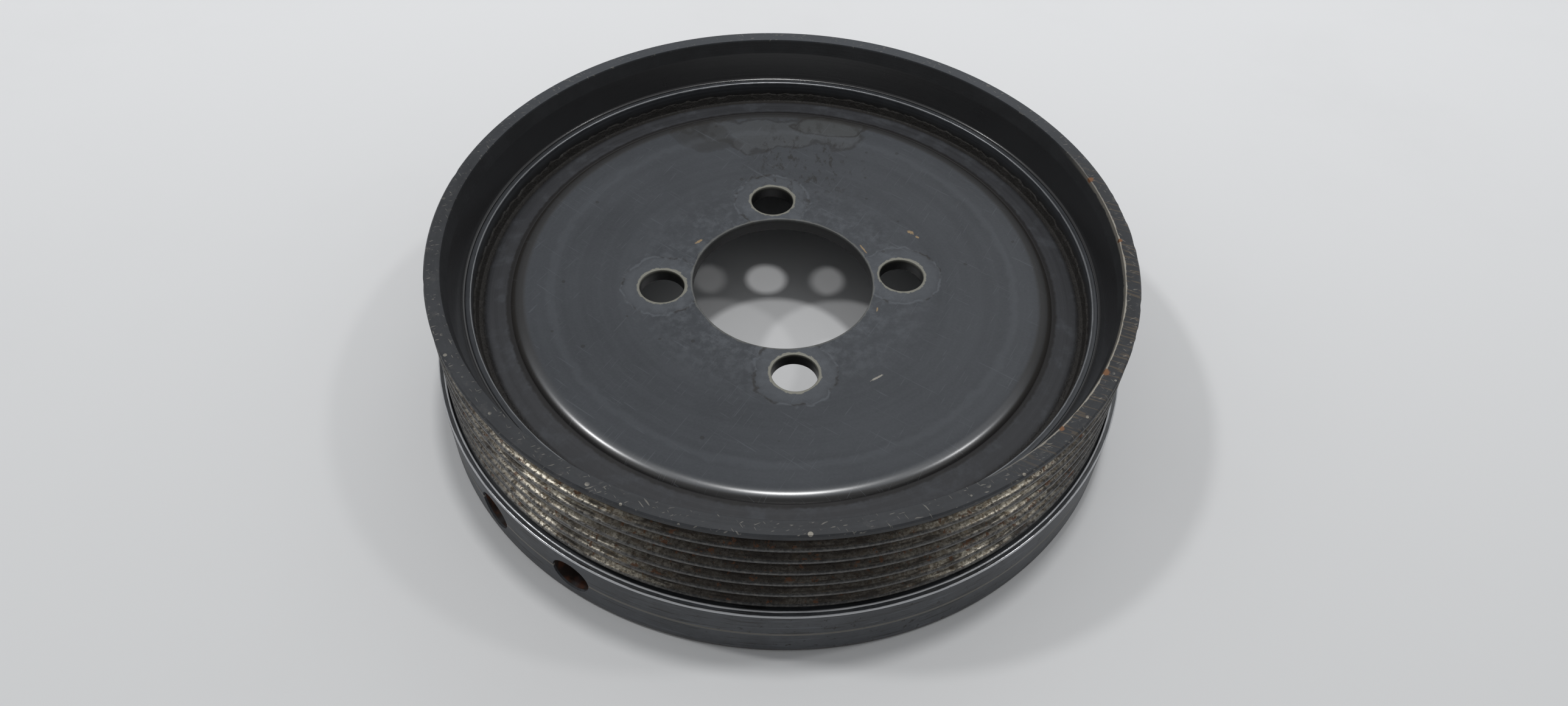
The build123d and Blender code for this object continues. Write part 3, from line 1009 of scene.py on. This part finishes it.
def sleeve_steel():
    """Coated steel of the isolator sleeve, with turned lines, a worn inner edge brightened as a painted
    highlight, and painted shade down its inner wall.
    """
    finish = settings().finish
    paint = Paint("sleeve steel", specular_ior_level=0.5)
    lines = paint.lines(per_mm=3.0, waver=0.5)
    mottle = paint.grain(scale=0.3, detail=4.0, roughness=0.6)
    outer, _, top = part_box("isolator_sleeve")[1] / MM
    inner = outer - settings().rubber.sleeve_wall / MM
    ledge = paint.rise(paint.height, between=(top - 0.5, top - 0.1))
    paint.start(
        paint.rise(lines, between=(0.2, 0.8)), finish.ring_coat, times_colour(finish.ring_coat, 2.3)
    )
    paint.lay(mottle, finish.coat_pale, strength=0.4)
    # Worn bare inner edge, brightened as a painted highlight along the edge.
    from_edge = apart(paint.tree, paint.radius, inner + 0.14)
    edge = paint.effect(worn_edge, distance=from_edge, reach=0.16, raggedness=0.9, grain_size=3.0)
    edge = paint.times(edge, paint.rise(paint.height, between=(top - 0.4, top - 0.2)))
    paint.lay(edge, SLEEVE_EDGE_WEAR_AND_HIGHLIGHT, strength=0.55)
    # Painted shade: darker down the sleeve's inner wall, below its top.
    paint.lay(paint.fall(paint.height, between=(top - 2.6, top - 0.6)), finish.grime, strength=0.6)
    paint.lift(lines, by=0.008)
    return paint.finished(
        roughness=paint.varied(0.24, mottle, by=0.15),
        metallic=paint.larger(paint.times(edge, 0.7), paint.times(ledge, 0.25)),
    )


def moulded_rubber(name, flash_radius):
    """Matt rubber with faint turned streaks, a dusty bloom and a flash with brown flecks, under painted
    shade along its outer band and beside the drum.
    """
    finish = settings().finish
    paint = Paint(name, specular_ior_level=0.35)
    lines = paint.lines(per_mm=1.4, waver=1.0)
    dust_and_sheen = paint.grain(scale=0.25, detail=4.0, roughness=0.65)
    fine = paint.grain(scale=3.0, detail=3.0, roughness=0.7)
    paint.start(paint.times(lines, 0.5), finish.rubber, times_colour(finish.rubber, 1.5))
    bloom = paint.rise(dust_and_sheen, between=(0.45, 0.75), low=0.0, high=0.26)
    paint.lay(bloom, finish.coat_pale, strength=1.0)
    flash = paint.rise(paint.radius, between=(flash_radius - 2.6, flash_radius - 1.2))
    # Painted shade along the rubber's inner edge beside the drum, with a wavy border.
    wavy_radius = paint.varied(paint.radius, paint.grain(scale=0.8, detail=3.0), by=-0.8)
    paint.lay(paint.fall(wavy_radius, between=(54.3, 54.9)), CREVICE_PAINTED_SHADE, strength=0.9)
    brown = paint.effect(blotches, size=1.2, threshold=0.45, softness=0.15, roughness=0.7)
    brown = paint.times(flash, brown)
    # Painted shade over the rubber's outer band, where the flash lies in the trench; the brown flecks
    # below are the flash's own colour.
    paint.lay(flash, finish.grime, strength=0.9)
    paint.lay(brown, FLASH_SHADE, strength=0.20)
    bits = paint.effect(specks, spacing=4.0, speck_size=0.4, share=0.05)
    paint.lay(bits, finish.bare, strength=0.8)
    paint.lift(lines, by=0.012)
    paint.lift(fine, by=0.012)
    paint.lift(brown, by=0.08)
    return paint.finished(roughness=paint.varied(0.50, dust_and_sheen, by=0.25))


def inertia_ring_coat():
    """Satin black coat with scratches and pits, a glossy lip with painted highlights along its edges,
    and rusty drillings.
    """
    finish = settings().finish
    sizes = settings().inertia
    paint = Paint("inertia ring coat", specular_ior_level=0.38, coat_roughness=0.18)
    pale = finish.coat_pale
    lowest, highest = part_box("inertia_ring")
    outer = highest.x / MM
    front = highest.z / MM
    rear = lowest.z / MM
    lines = paint.lines(per_mm=2.0, waver=1.0)
    mottle = paint.grain(scale=0.10, detail=4.0, roughness=0.65)
    fine = paint.grain(scale=1.6, detail=4.0, roughness=0.7)
    outside = paint.rise(paint.radius, between=(outer - 0.32, outer - 0.1))

    tones = times_colour(finish.ring_coat, 1.5), times_colour(finish.ring_coat, 3.0)
    paint.start(paint.rise(mottle, between=(0.3, 0.7)), *tones)
    paint.lay(fine, pale, strength=0.3)
    haze = paint.effect(blotches, size=7.0, threshold=0.48, softness=0.25, roughness=0.7)
    paint.lay(haze, pale, strength=0.25)
    scored = paint.lines(per_mm=1.7, waver=7.0)
    marks = paint.rise(scored, between=(0.20, 0.04))
    paint.lay(marks, finish.grime, strength=0.7)
    paint.lay(paint.rise(scored, between=(0.80, 0.98)), pale, strength=0.5)
    pits = paint.effect(blotches, size=1.6, threshold=0.62, softness=0.04, roughness=0.7)
    lower_right = paint.rise(paint.facing(-52.0), between=(0.5, 0.95), low=0.25, high=1.0)
    pits = paint.times(pits, outside, lower_right)
    paint.lay(pits, finish.grime, strength=0.9)

    half_line = sizes.scribe / MM / 2
    scribe = paint.effect(
        band, value=paint.height, middle=(rear + front) / 2, half_width=half_line, softness=0.1
    )
    paint.lay(scribe, finish.bare, strength=0.45)
    foot = paint.fall(paint.height, between=(rear + 0.2, rear + 1.4))
    paint.lay(foot, FOOT_SHADE, strength=0.35)
    drilled = paint.fall(paint.radius, between=(outer - 0.5, outer - 0.35))
    drilled = paint.times(drilled, paint.rise(paint.radius, between=(63.0, 64.0)))
    drilled = paint.times(drilled, paint.rise(paint.height, between=(-9.0, -9.3)))
    drilled = paint.times(drilled, paint.rise(paint.height, between=(-17.4, -17.1)))
    rusty = paint.effect(blotches, size=2.5, threshold=0.45, softness=0.2, roughness=0.6)
    paint.lay(drilled, mixed(paint.tree, rusty, DRILLING_SHADE, DRILLING_RUST), strength=1.0)

    lip = paint.rise(paint.height, between=(front - 0.5, front - 0.2))
    # Painted highlights along both edges of the lip, laid as worn bare metal.
    inner_line = (highest.x - sizes.lip + sizes.bead) / MM - 0.06
    from_edge = maths(
        paint.tree,
        "MINIMUM",
        apart(paint.tree, paint.radius, inner_line),
        apart(paint.tree, paint.radius, outer - 0.1),
    )
    edge = paint.effect(worn_edge, distance=from_edge, reach=0.22, raggedness=0.6, grain_size=4.0)
    edge = paint.times(edge, paint.rise(paint.height, between=(front - 0.45, front - 0.3)))
    paint.lay(edge, LIP_EDGE_PAINTED_HIGHLIGHT, strength=0.85)
    gloss = paint.blend(lip, paint.varied(0.40, mottle, by=0.20), 0.20)
    paint.lift(lines, by=0.005)
    paint.lift(fine, by=0.010)
    paint.lift(pits, by=-0.05)
    paint.lift(marks, by=-0.02)
    return paint.finished(
        metallic=paint.times(edge, 0.45),
        coat_weight=paint.times(lip, 0.9),
        roughness=paint.blend(drilled, gloss, 0.7),
    )


def plain_steel():
    """Pressed steel of the support ring: oily grey with light rust."""
    finish = settings().finish
    paint = Paint("support steel")
    mottle = paint.grain(scale=0.2, detail=5.0, roughness=0.65)
    rust = paint.effect(blotches, size=3.0, threshold=0.54, softness=0.12, roughness=0.7)
    paint.start(paint.rise(mottle, between=(0.3, 0.7)), OILY_SHADE, finish.bare)
    paint.lay(rust, finish.rust, strength=0.6)
    paint.lift(mottle, by=0.05)
    return paint.finished(
        roughness=paint.varied(0.3, mottle, by=0.3), metallic=paint.varied(0.85, rust, by=-0.85)
    )


def bearing_plastic():
    """Pale moulded plastic of the bearing bush and thrust ring, stained by grease."""
    paint = Paint("bearing plastic")
    stain = paint.effect(blotches, size=4.0, threshold=0.42, softness=0.3, roughness=0.6)
    fine = paint.grain(scale=2.5, detail=3.0)
    paint.start(paint.times(stain, 0.6), PLASTIC_SHADE, settings().finish.tan)
    paint.lift(fine, by=0.02)
    return paint.finished(roughness=paint.varied(0.42, fine, by=0.2))


def floor_paint(far_colour, shadowed_near_colour):
    """Pale table top with faint smudges, darker in front: a painted shadow."""
    material = bpy.data.materials.new("pale floor")
    material.use_nodes = True
    tree = material.node_tree
    shader = tree.nodes["Principled BSDF"].inputs
    shader["Specular IOR Level"].default_value = 0.25
    where = node(tree, "ShaderNodeTexCoord").outputs["Object"]
    tone = mixed(tree, ramped(tree, split(tree, where)["Y"], -0.16, 0.20), shadowed_near_colour, far_colour)
    smudge = ramped(tree, grain(tree, where, 14.0, 5.0, 0.6), 0.45, 0.8, 0.0, 0.10)
    feed(tree, shader["Base Color"], mixed(tree, smudge, tone, SMUDGE_SHADE))
    feed(tree, shader["Roughness"], maths(tree, "ADD", smudge, 0.55))
    return material


# --- operators --------------------------------------------------------------------------------------


class PULLEY_OT_hub_plate(bpy.types.Operator):
    """Build the dished hub plate with its bore, bolt holes and drum"""

    bl_idname = "pulley.hub_plate"
    bl_label = "Hub Plate"

    def execute(self, context):
        sizes = context.scene.belt_pulley.hub
        steps = context.scene.belt_pulley.steps
        lowest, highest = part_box("hub_plate")
        drum = highest.x
        inner = drum - sizes.drum_wall
        web_edge = sizes.plate + sizes.web_rise
        drum_rear = lowest.z
        web = turned(
            [
                (sizes.clamp, 0.0, 0.0),
                (inner, sizes.web_rise, sizes.shoulder / 3),
                (inner, drum_rear, sizes.edge),
                (drum, drum_rear, sizes.edge),
                (drum, web_edge, sizes.shoulder),
                (sizes.clamp, sizes.plate, 0.0),
            ],
            steps,
            open_end=True,
        )
        bore = turned(self.lining(sizes, sizes.bore), steps, open_end=True)
        holes = []
        for index in range(sizes.bolt_count):
            hole = turned(self.lining(sizes, sizes.bolt_hole), steps // 4, open_end=True)
            angle = sizes.first_bolt + index * 2 * math.pi / sizes.bolt_count
            place = Vector((math.cos(angle), math.sin(angle), 0.0)) * sizes.bolt_circle
            bmesh.ops.translate(hole, vec=place, verts=hole.verts)
            holes.append(hole)
        whole = joined(web, bore, *holes)
        fill_level(whole, sizes.plate)
        fill_level(whole, 0.0)
        piece = new_object("hub_plate_finished", whole)
        place_piece(piece, "hub", ["hub_plate"], [hub_coat()])
        return {"FINISHED"}

    @staticmethod
    def lining(sizes, radius):
        """Corners of a hole's wall with worn edges, from the rear face round to the front one."""
        flat = radius + 2 * sizes.edge
        return [
            (flat, 0.0, 0.0),
            (radius, 0.0, sizes.edge),
            (radius, sizes.plate, sizes.edge),
            (flat, sizes.plate, 0.0),
        ]


class PULLEY_OT_belt_ring(bpy.types.Operator):
    """Build the grooved belt ring"""

    bl_idname = "pulley.belt_ring"
    bl_label = "Belt Ring"

    def execute(self, context):
        sizes = context.scene.belt_pulley.belt_ring
        steps = context.scene.belt_pulley.steps
        lowest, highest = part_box("belt_pulley")
        rim = highest.x
        front = highest.z
        rear = lowest.z
        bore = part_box("isolator_sleeve")[1].x
        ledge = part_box("isolator_sleeve")[1].z
        root = rim - sizes.groove_depth
        cone = root - sizes.root_wall
        edge = sizes.rim_edge
        corners = [
            (rim - edge, front, edge / 3),
            (rim, front - edge, edge / 3),
            *self.groove_corners(sizes, rim, root, front),
            (rim, rear + edge, edge / 3),
            (rim - edge, rear, edge / 3),
            (bore, rear, edge),
            (bore, ledge, 0.0),
            (bore + sizes.ledge_step, ledge, sizes.wall_foot),
            (cone, front - sizes.cone_depth, edge),
            (rim - sizes.rim_lip, front, edge / 3),
        ]
        whole = turned(corners, steps)
        nick_edge(whole, rim, front - edge / 2, reach=edge, depth=0.22 * MM, size=0.9 * MM)
        piece = new_object("belt_ring_finished", whole)
        self.mark_grooves(piece, root, front - sizes.front_land, rear + edge)
        coats = [belt_ring_coat(), groove_metal()]
        place_piece(piece, "pulley", ["belt_pulley"], coats)
        return {"FINISHED"}

    @staticmethod
    def groove_corners(sizes, rim, root, front):
        """Corners down the outside of the ring, one V groove after another."""
        half_root = sizes.groove_root / 2
        half_top = half_root + sizes.groove_depth * math.tan(sizes.groove_angle / 2)
        corners = []
        for index in range(sizes.groove_count):
            middle = front - sizes.front_land - half_top - index * sizes.groove_pitch
            corners.append((rim, middle + half_top, sizes.groove_tip))
            corners.append((root, middle + half_root, sizes.groove_base))
            corners.append((root, middle - half_root, sizes.groove_base))
            corners.append((rim, middle - half_top, sizes.groove_tip))
        return corners

    @staticmethod
    def mark_grooves(piece, root, top, bottom, margin=0.3 * MM, top_margin=0.05 * MM):
        """Gives the faces of the belt track the second material."""
        for face in piece.data.polygons:
            in_track = bottom < face.center.z < top - top_margin
            if in_track and Vector(face.center[:2]).length > root - margin:
                face.material_index = BARE_TRACK


class PULLEY_OT_sleeve(bpy.types.Operator):
    """Build the isolator's steel sleeve"""

    bl_idname = "pulley.sleeve"
    bl_label = "Isolator Sleeve"

    def execute(self, context):
        sizes = context.scene.belt_pulley.rubber
        lowest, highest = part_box("isolator_sleeve")
        outer = highest.x
        inner = outer - sizes.sleeve_wall
        edge = sizes.sleeve_wall / 5
        corners = [
            (inner, lowest.z, 0.0),
            (outer, lowest.z, 0.0),
            (outer, highest.z, edge),
            (inner, highest.z, edge),
        ]
        piece = new_object("sleeve_finished", turned(corners, context.scene.belt_pulley.steps))
        place_piece(piece, "pulley", ["isolator_sleeve"], [sleeve_steel()])
        return {"FINISHED"}


class PULLEY_OT_isolator(bpy.types.Operator):
    """Build the isolator rubber with its moulding flash"""

    bl_idname = "pulley.isolator"
    bl_label = "Isolator Rubber"

    def execute(self, context):
        sizes = context.scene.belt_pulley.rubber
        steps = context.scene.belt_pulley.steps
        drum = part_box("hub_plate")[1].x
        sleeve_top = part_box("isolator_sleeve")[1].z
        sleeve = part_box("isolator_sleeve")[1].x - sizes.sleeve_wall
        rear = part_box("isolator_rubber")[0].z
        lip = sleeve_top - sizes.lap
        middle = (drum + sleeve) / 2
        # from the rear round the outer lip and its trench, over the hollowed face, to the drum
        corners = [
            (drum - 0.4 * MM, rear, 0.0),
            (sleeve, rear, 0.0),
            (sleeve, lip, 0.0),
            (sleeve - 0.35 * MM, lip, 0.2 * MM),
            (sleeve - 0.75 * MM, sizes.face - sizes.trench, 0.3 * MM),
            (sleeve - 1.5 * MM, sizes.face - sizes.trench, 0.4 * MM),
            (sleeve - 2.3 * MM, sizes.face - sizes.dish, 1.5 * MM),
            (middle - 0.4 * MM, sizes.face - sizes.dish, 4.0 * MM),
            (drum - 0.75 * MM, sizes.face + 0.05 * MM, 0.25 * MM),
            (drum - 1.6 * MM, sizes.face - 0.3 * MM, 0.0),
        ]
        whole = turned(corners, 2 * steps)
        self.raise_flash(whole, sleeve, lip, sizes.flash)
        piece = new_object("isolator_finished", whole)
        coats = [moulded_rubber("isolator rubber", sleeve / MM)]
        place_piece(piece, "hub", ["isolator_rubber"], coats)
        return {"FINISHED"}

    @staticmethod
    def raise_flash(bm, sleeve, lip, flash, width=0.6 * MM, depth=0.4 * MM):
        """Tears the moulding flash at the outer lip up and down, in coarse and fine waves."""
        waves = ((2.2 * MM, 0.7), (0.7 * MM, 0.5))
        for vert in bm.verts:
            if Vector(vert.co[:2]).length > sleeve - width and vert.co.z > lip - depth:
                vert.co.z += flash * sum(share * noise.noise(vert.co / size) for size, share in waves)


class PULLEY_OT_inertia_ring(bpy.types.Operator):
    """Build the inertia ring and drill its balance holes"""

    bl_idname = "pulley.inertia_ring"
    bl_label = "Inertia Ring"

    def execute(self, context):
        sizes = context.scene.belt_pulley.inertia
        steps = context.scene.belt_pulley.steps
        lowest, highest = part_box("inertia_ring")
        outer = highest.x
        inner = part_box("damper_rubber")[1].x
        front = highest.z
        step = front - sizes.lip_height
        rear = lowest.z
        line = (front + rear) / 2
        corners = [
            (inner, step, sizes.scribe_depth),
            (outer - sizes.lip, step, sizes.front_round / 2),
            (outer - sizes.lip, front, sizes.bead / 2),
            (outer - sizes.lip + sizes.bead, front, sizes.bead / 2),
            (outer - sizes.lip + 1.5 * sizes.bead, front - sizes.bead / 2, 0.0),
            (outer, front - sizes.bead / 2, sizes.front_round),
            (outer, line + sizes.scribe / 2, 0.0),
            (outer - sizes.scribe_depth, line, 0.0),
            (outer, line - sizes.scribe / 2, 0.0),
            (outer, rear + sizes.rear_edge, sizes.rear_edge / 3),
            (outer - sizes.rear_edge, rear, sizes.rear_edge / 3),
            (inner + sizes.rear_edge, rear, 0.0),
            (inner, rear + sizes.rear_edge, 0.0),
        ]
        piece = new_object("inertia_ring_finished", turned(corners, steps))
        angles = (sizes.first_drilling, sizes.second_drilling)
        cut_away(piece, [self.drilling(sizes, outer, line, angle) for angle in angles])
        place_piece(piece, "damper", ["inertia_ring"], [inertia_ring_coat()])
        return {"FINISHED"}

    @staticmethod
    def drilling(sizes, outer, height, angle):
        """The drill that cuts one hole: a cylinder with a pointed end, laid along the radius."""
        point = sizes.drilling / math.tan(sizes.drill_point / 2)
        bm = bmesh.new()
        made = bmesh.ops.create_cone(
            bm,
            cap_ends=True,
            segments=48,
            radius1=sizes.drilling,
            radius2=sizes.drilling,
            depth=sizes.drilling_depth,
        )
        bmesh.ops.translate(bm, vec=(0.0, 0.0, sizes.drilling_depth / 2), verts=made["verts"])
        top = [v for v in bm.verts if v.co.z > sizes.drilling_depth / 2]
        bmesh.ops.translate(bm, vec=(0.0, 0.0, -point), verts=top)
        tip = bmesh.ops.poke(bm, faces=[f for f in bm.faces if all(v in top for v in f.verts)])["verts"]
        bmesh.ops.translate(bm, vec=(0.0, 0.0, point), verts=tip)
        bottom = [v for v in bm.verts if abs(v.co.z) < WELD]
        bmesh.ops.translate(bm, vec=(0.0, 0.0, -sizes.drilling), verts=bottom)
        turn = Matrix.Rotation(angle, 4, "Z") @ Matrix.Translation((outer, 0.0, height))
        inwards = Matrix.Rotation(-math.pi / 2, 4, "Y")
        bmesh.ops.transform(bm, matrix=turn @ inwards, verts=bm.verts)
        return bm


class PULLEY_OT_rear_rings(bpy.types.Operator):
    """Build the support ring and the damper rubber, and finish the bearing rings"""

    bl_idname = "pulley.rear_rings"
    bl_label = "Rear Rings"

    def execute(self, context):
        everything = context.scene.belt_pulley
        sizes = everything.support
        lowest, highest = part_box("support_ring")
        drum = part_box("hub_plate")[1].x
        collar = drum + sizes.wall
        rim = highest.x
        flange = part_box("bearing_bush")[0].z - 0.6 * MM
        support = turned(
            [
                (drum, lowest.z, 0.0),
                (collar, lowest.z, 0.2 * MM),
                (collar, flange, 0.4 * MM),
                (rim, flange, sizes.corner),
                (rim, highest.z, 0.1 * MM),
                (rim - sizes.rim_wall, highest.z, 0.1 * MM),
                (rim - sizes.rim_wall, flange + sizes.wall, 0.4 * MM),
                (drum, flange + sizes.wall, 0.0),
            ],
            everything.steps,
        )
        piece = new_object("support_ring_finished", support)
        place_piece(piece, "hub", ["support_ring"], [plain_steel()])
        rubber = everything.rubber
        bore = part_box("damper_rubber")[1].x - rubber.damper_clearance
        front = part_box("damper_rubber")[1].z
        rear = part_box("damper_rubber")[0].z
        middle = (collar + bore) / 2
        damper = turned(
            [
                (collar, front, 0.0),
                (middle - 0.7 * MM, front - rubber.damper_dish, 0.7 * MM),
                (middle + 0.7 * MM, front - rubber.damper_dish, 0.7 * MM),
                (bore, front, 0.0),
                (bore, rear, 0.0),
                (middle + 0.7 * MM, rear + rubber.damper_dish, 0.7 * MM),
                (middle - 0.7 * MM, rear + rubber.damper_dish, 0.7 * MM),
                (collar, rear, 0.0),
            ],
            everything.steps,
        )
        piece = new_object("damper_rubber_finished", damper)
        coats = [moulded_rubber("damper rubber", bore / MM)]
        place_piece(piece, "hub", ["damper_rubber"], coats)
        plastic = bearing_plastic()
        for name in ("bearing_bush", "thrust_ring"):
            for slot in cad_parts[name].material_slots:
                slot.material = plastic
        return {"FINISHED"}


class PULLEY_OT_stage(bpy.types.Operator):
    """Set up the pale floor, the room light, three overhead lamps and the camera"""

    bl_idname = "pulley.stage"
    bl_label = "Stage"

    def execute(self, context):
        look = context.scene.belt_pulley.stage
        self.add_floor(look, cad_box[0].z - look.floor_gap)
        self.light_room(context.scene, look)
        for lamp in LAMPS:
            self.hang_lamp(look, *lamp)
        self.place_camera(context.scene, look)
        context.scene.view_settings.view_transform = "Standard"
        return {"FINISHED"}

    @staticmethod
    def add_floor(look, height):
        """A wide floor that the pulley lies on."""
        bm = bmesh.new()
        bmesh.ops.create_grid(bm, x_segments=8, y_segments=8, size=3.0)
        bmesh.ops.translate(bm, vec=(0.0, 0.0, height), verts=bm.verts)
        floor = new_object("floor", bm)
        floor.data.materials.append(floor_paint(look.floor_far, look.floor_near))

    @staticmethod
    def light_room(scene, look):
        """Soft light from all round, brighter or dimmer in a few directions."""
        world = bpy.data.worlds.new("room")
        world.use_nodes = True
        tree = world.node_tree
        way = node(tree, "ShaderNodeTexCoord").outputs["Generated"]
        strength = look.room_light
        for toward, start, end, gain in ROOM_PARTS:
            share = vectors(tree, "DOT_PRODUCT", way, toward)
            strength = maths(tree, "MULTIPLY", strength, ramped(tree, share, start, end, 1.0, gain))
        background = tree.nodes["Background"]
        background.inputs["Color"].default_value = ROOM_COLOUR
        feed(tree, background.inputs["Strength"], strength)
        scene.world = world

    @staticmethod
    def hang_lamp(look, name, across, along, share):
        """A round lamp overhead; across and along are its offsets as shares of its height."""
        data = bpy.data.lights.new(name, "AREA")
        data.shape = "DISK"
        data.size = look.lamp_width
        data.energy = look.lamp_power * share
        lamp = bpy.data.objects.new(name, data)
        lamp.location = (across * look.lamp_height, along * look.lamp_height, look.lamp_height)
        lamp.rotation_euler = (-lamp.location).to_track_quat("-Z", "Y").to_euler()
        bpy.context.scene.collection.objects.link(lamp)

    @staticmethod
    def place_camera(scene, look):
        """The camera looks down at the open front from one side."""
        data = bpy.data.cameras.new("camera")
        data.lens = look.camera_lens
        data.sensor_width = SENSOR_WIDTH
        data.clip_start = 10 * MM
        camera = bpy.data.objects.new("camera", data)
        camera.location = CAMERA_PLACE
        camera.rotation_euler = [math.radians(degrees) for degrees in CAMERA_TURN]
        scene.collection.objects.link(camera)
        scene.camera = camera


class PULLEY_PT_panel(bpy.types.Panel):
    """Lists the pulley's pieces and its stage"""

    bl_idname = "PULLEY_PT_panel"
    bl_label = "Belt Pulley"
    bl_space_type = "VIEW_3D"
    bl_region_type = "UI"
    bl_category = "Pulley"

    def draw(self, context):
        self.layout.prop(context.scene.belt_pulley, "steps")
        for operator in OPERATORS:
            self.layout.operator(operator.bl_idname)


SETTINGS = (
    HubSizes,
    BeltRingSizes,
    RubberSizes,
    InertiaRingSizes,
    SupportSizes,
    FinishColours,
    StageSettings,
    PulleySettings,
)
OPERATORS = (
    PULLEY_OT_hub_plate,
    PULLEY_OT_belt_ring,
    PULLEY_OT_sleeve,
    PULLEY_OT_isolator,
    PULLEY_OT_inertia_ring,
    PULLEY_OT_rear_rings,
    PULLEY_OT_stage,
)
CLASSES = (*SETTINGS, *OPERATORS, PULLEY_PT_panel)


def register():
    """Registers every class and the scene's settings."""
    for made in CLASSES:
        bpy.utils.register_class(made)
    bpy.types.Scene.belt_pulley = PointerProperty(type=PulleySettings)


def unregister():
    """Takes the settings and the classes out again."""
    del bpy.types.Scene.belt_pulley
    for made in reversed(CLASSES):
        bpy.utils.unregister_class(made)


def main():
    register()
    bpy.ops.pulley.hub_plate()
    bpy.ops.pulley.belt_ring()
    bpy.ops.pulley.sleeve()
    bpy.ops.pulley.isolator()
    bpy.ops.pulley.inertia_ring()
    bpy.ops.pulley.rear_rings()
    bpy.ops.pulley.stage()


if __name__ == "__main__":
    main()
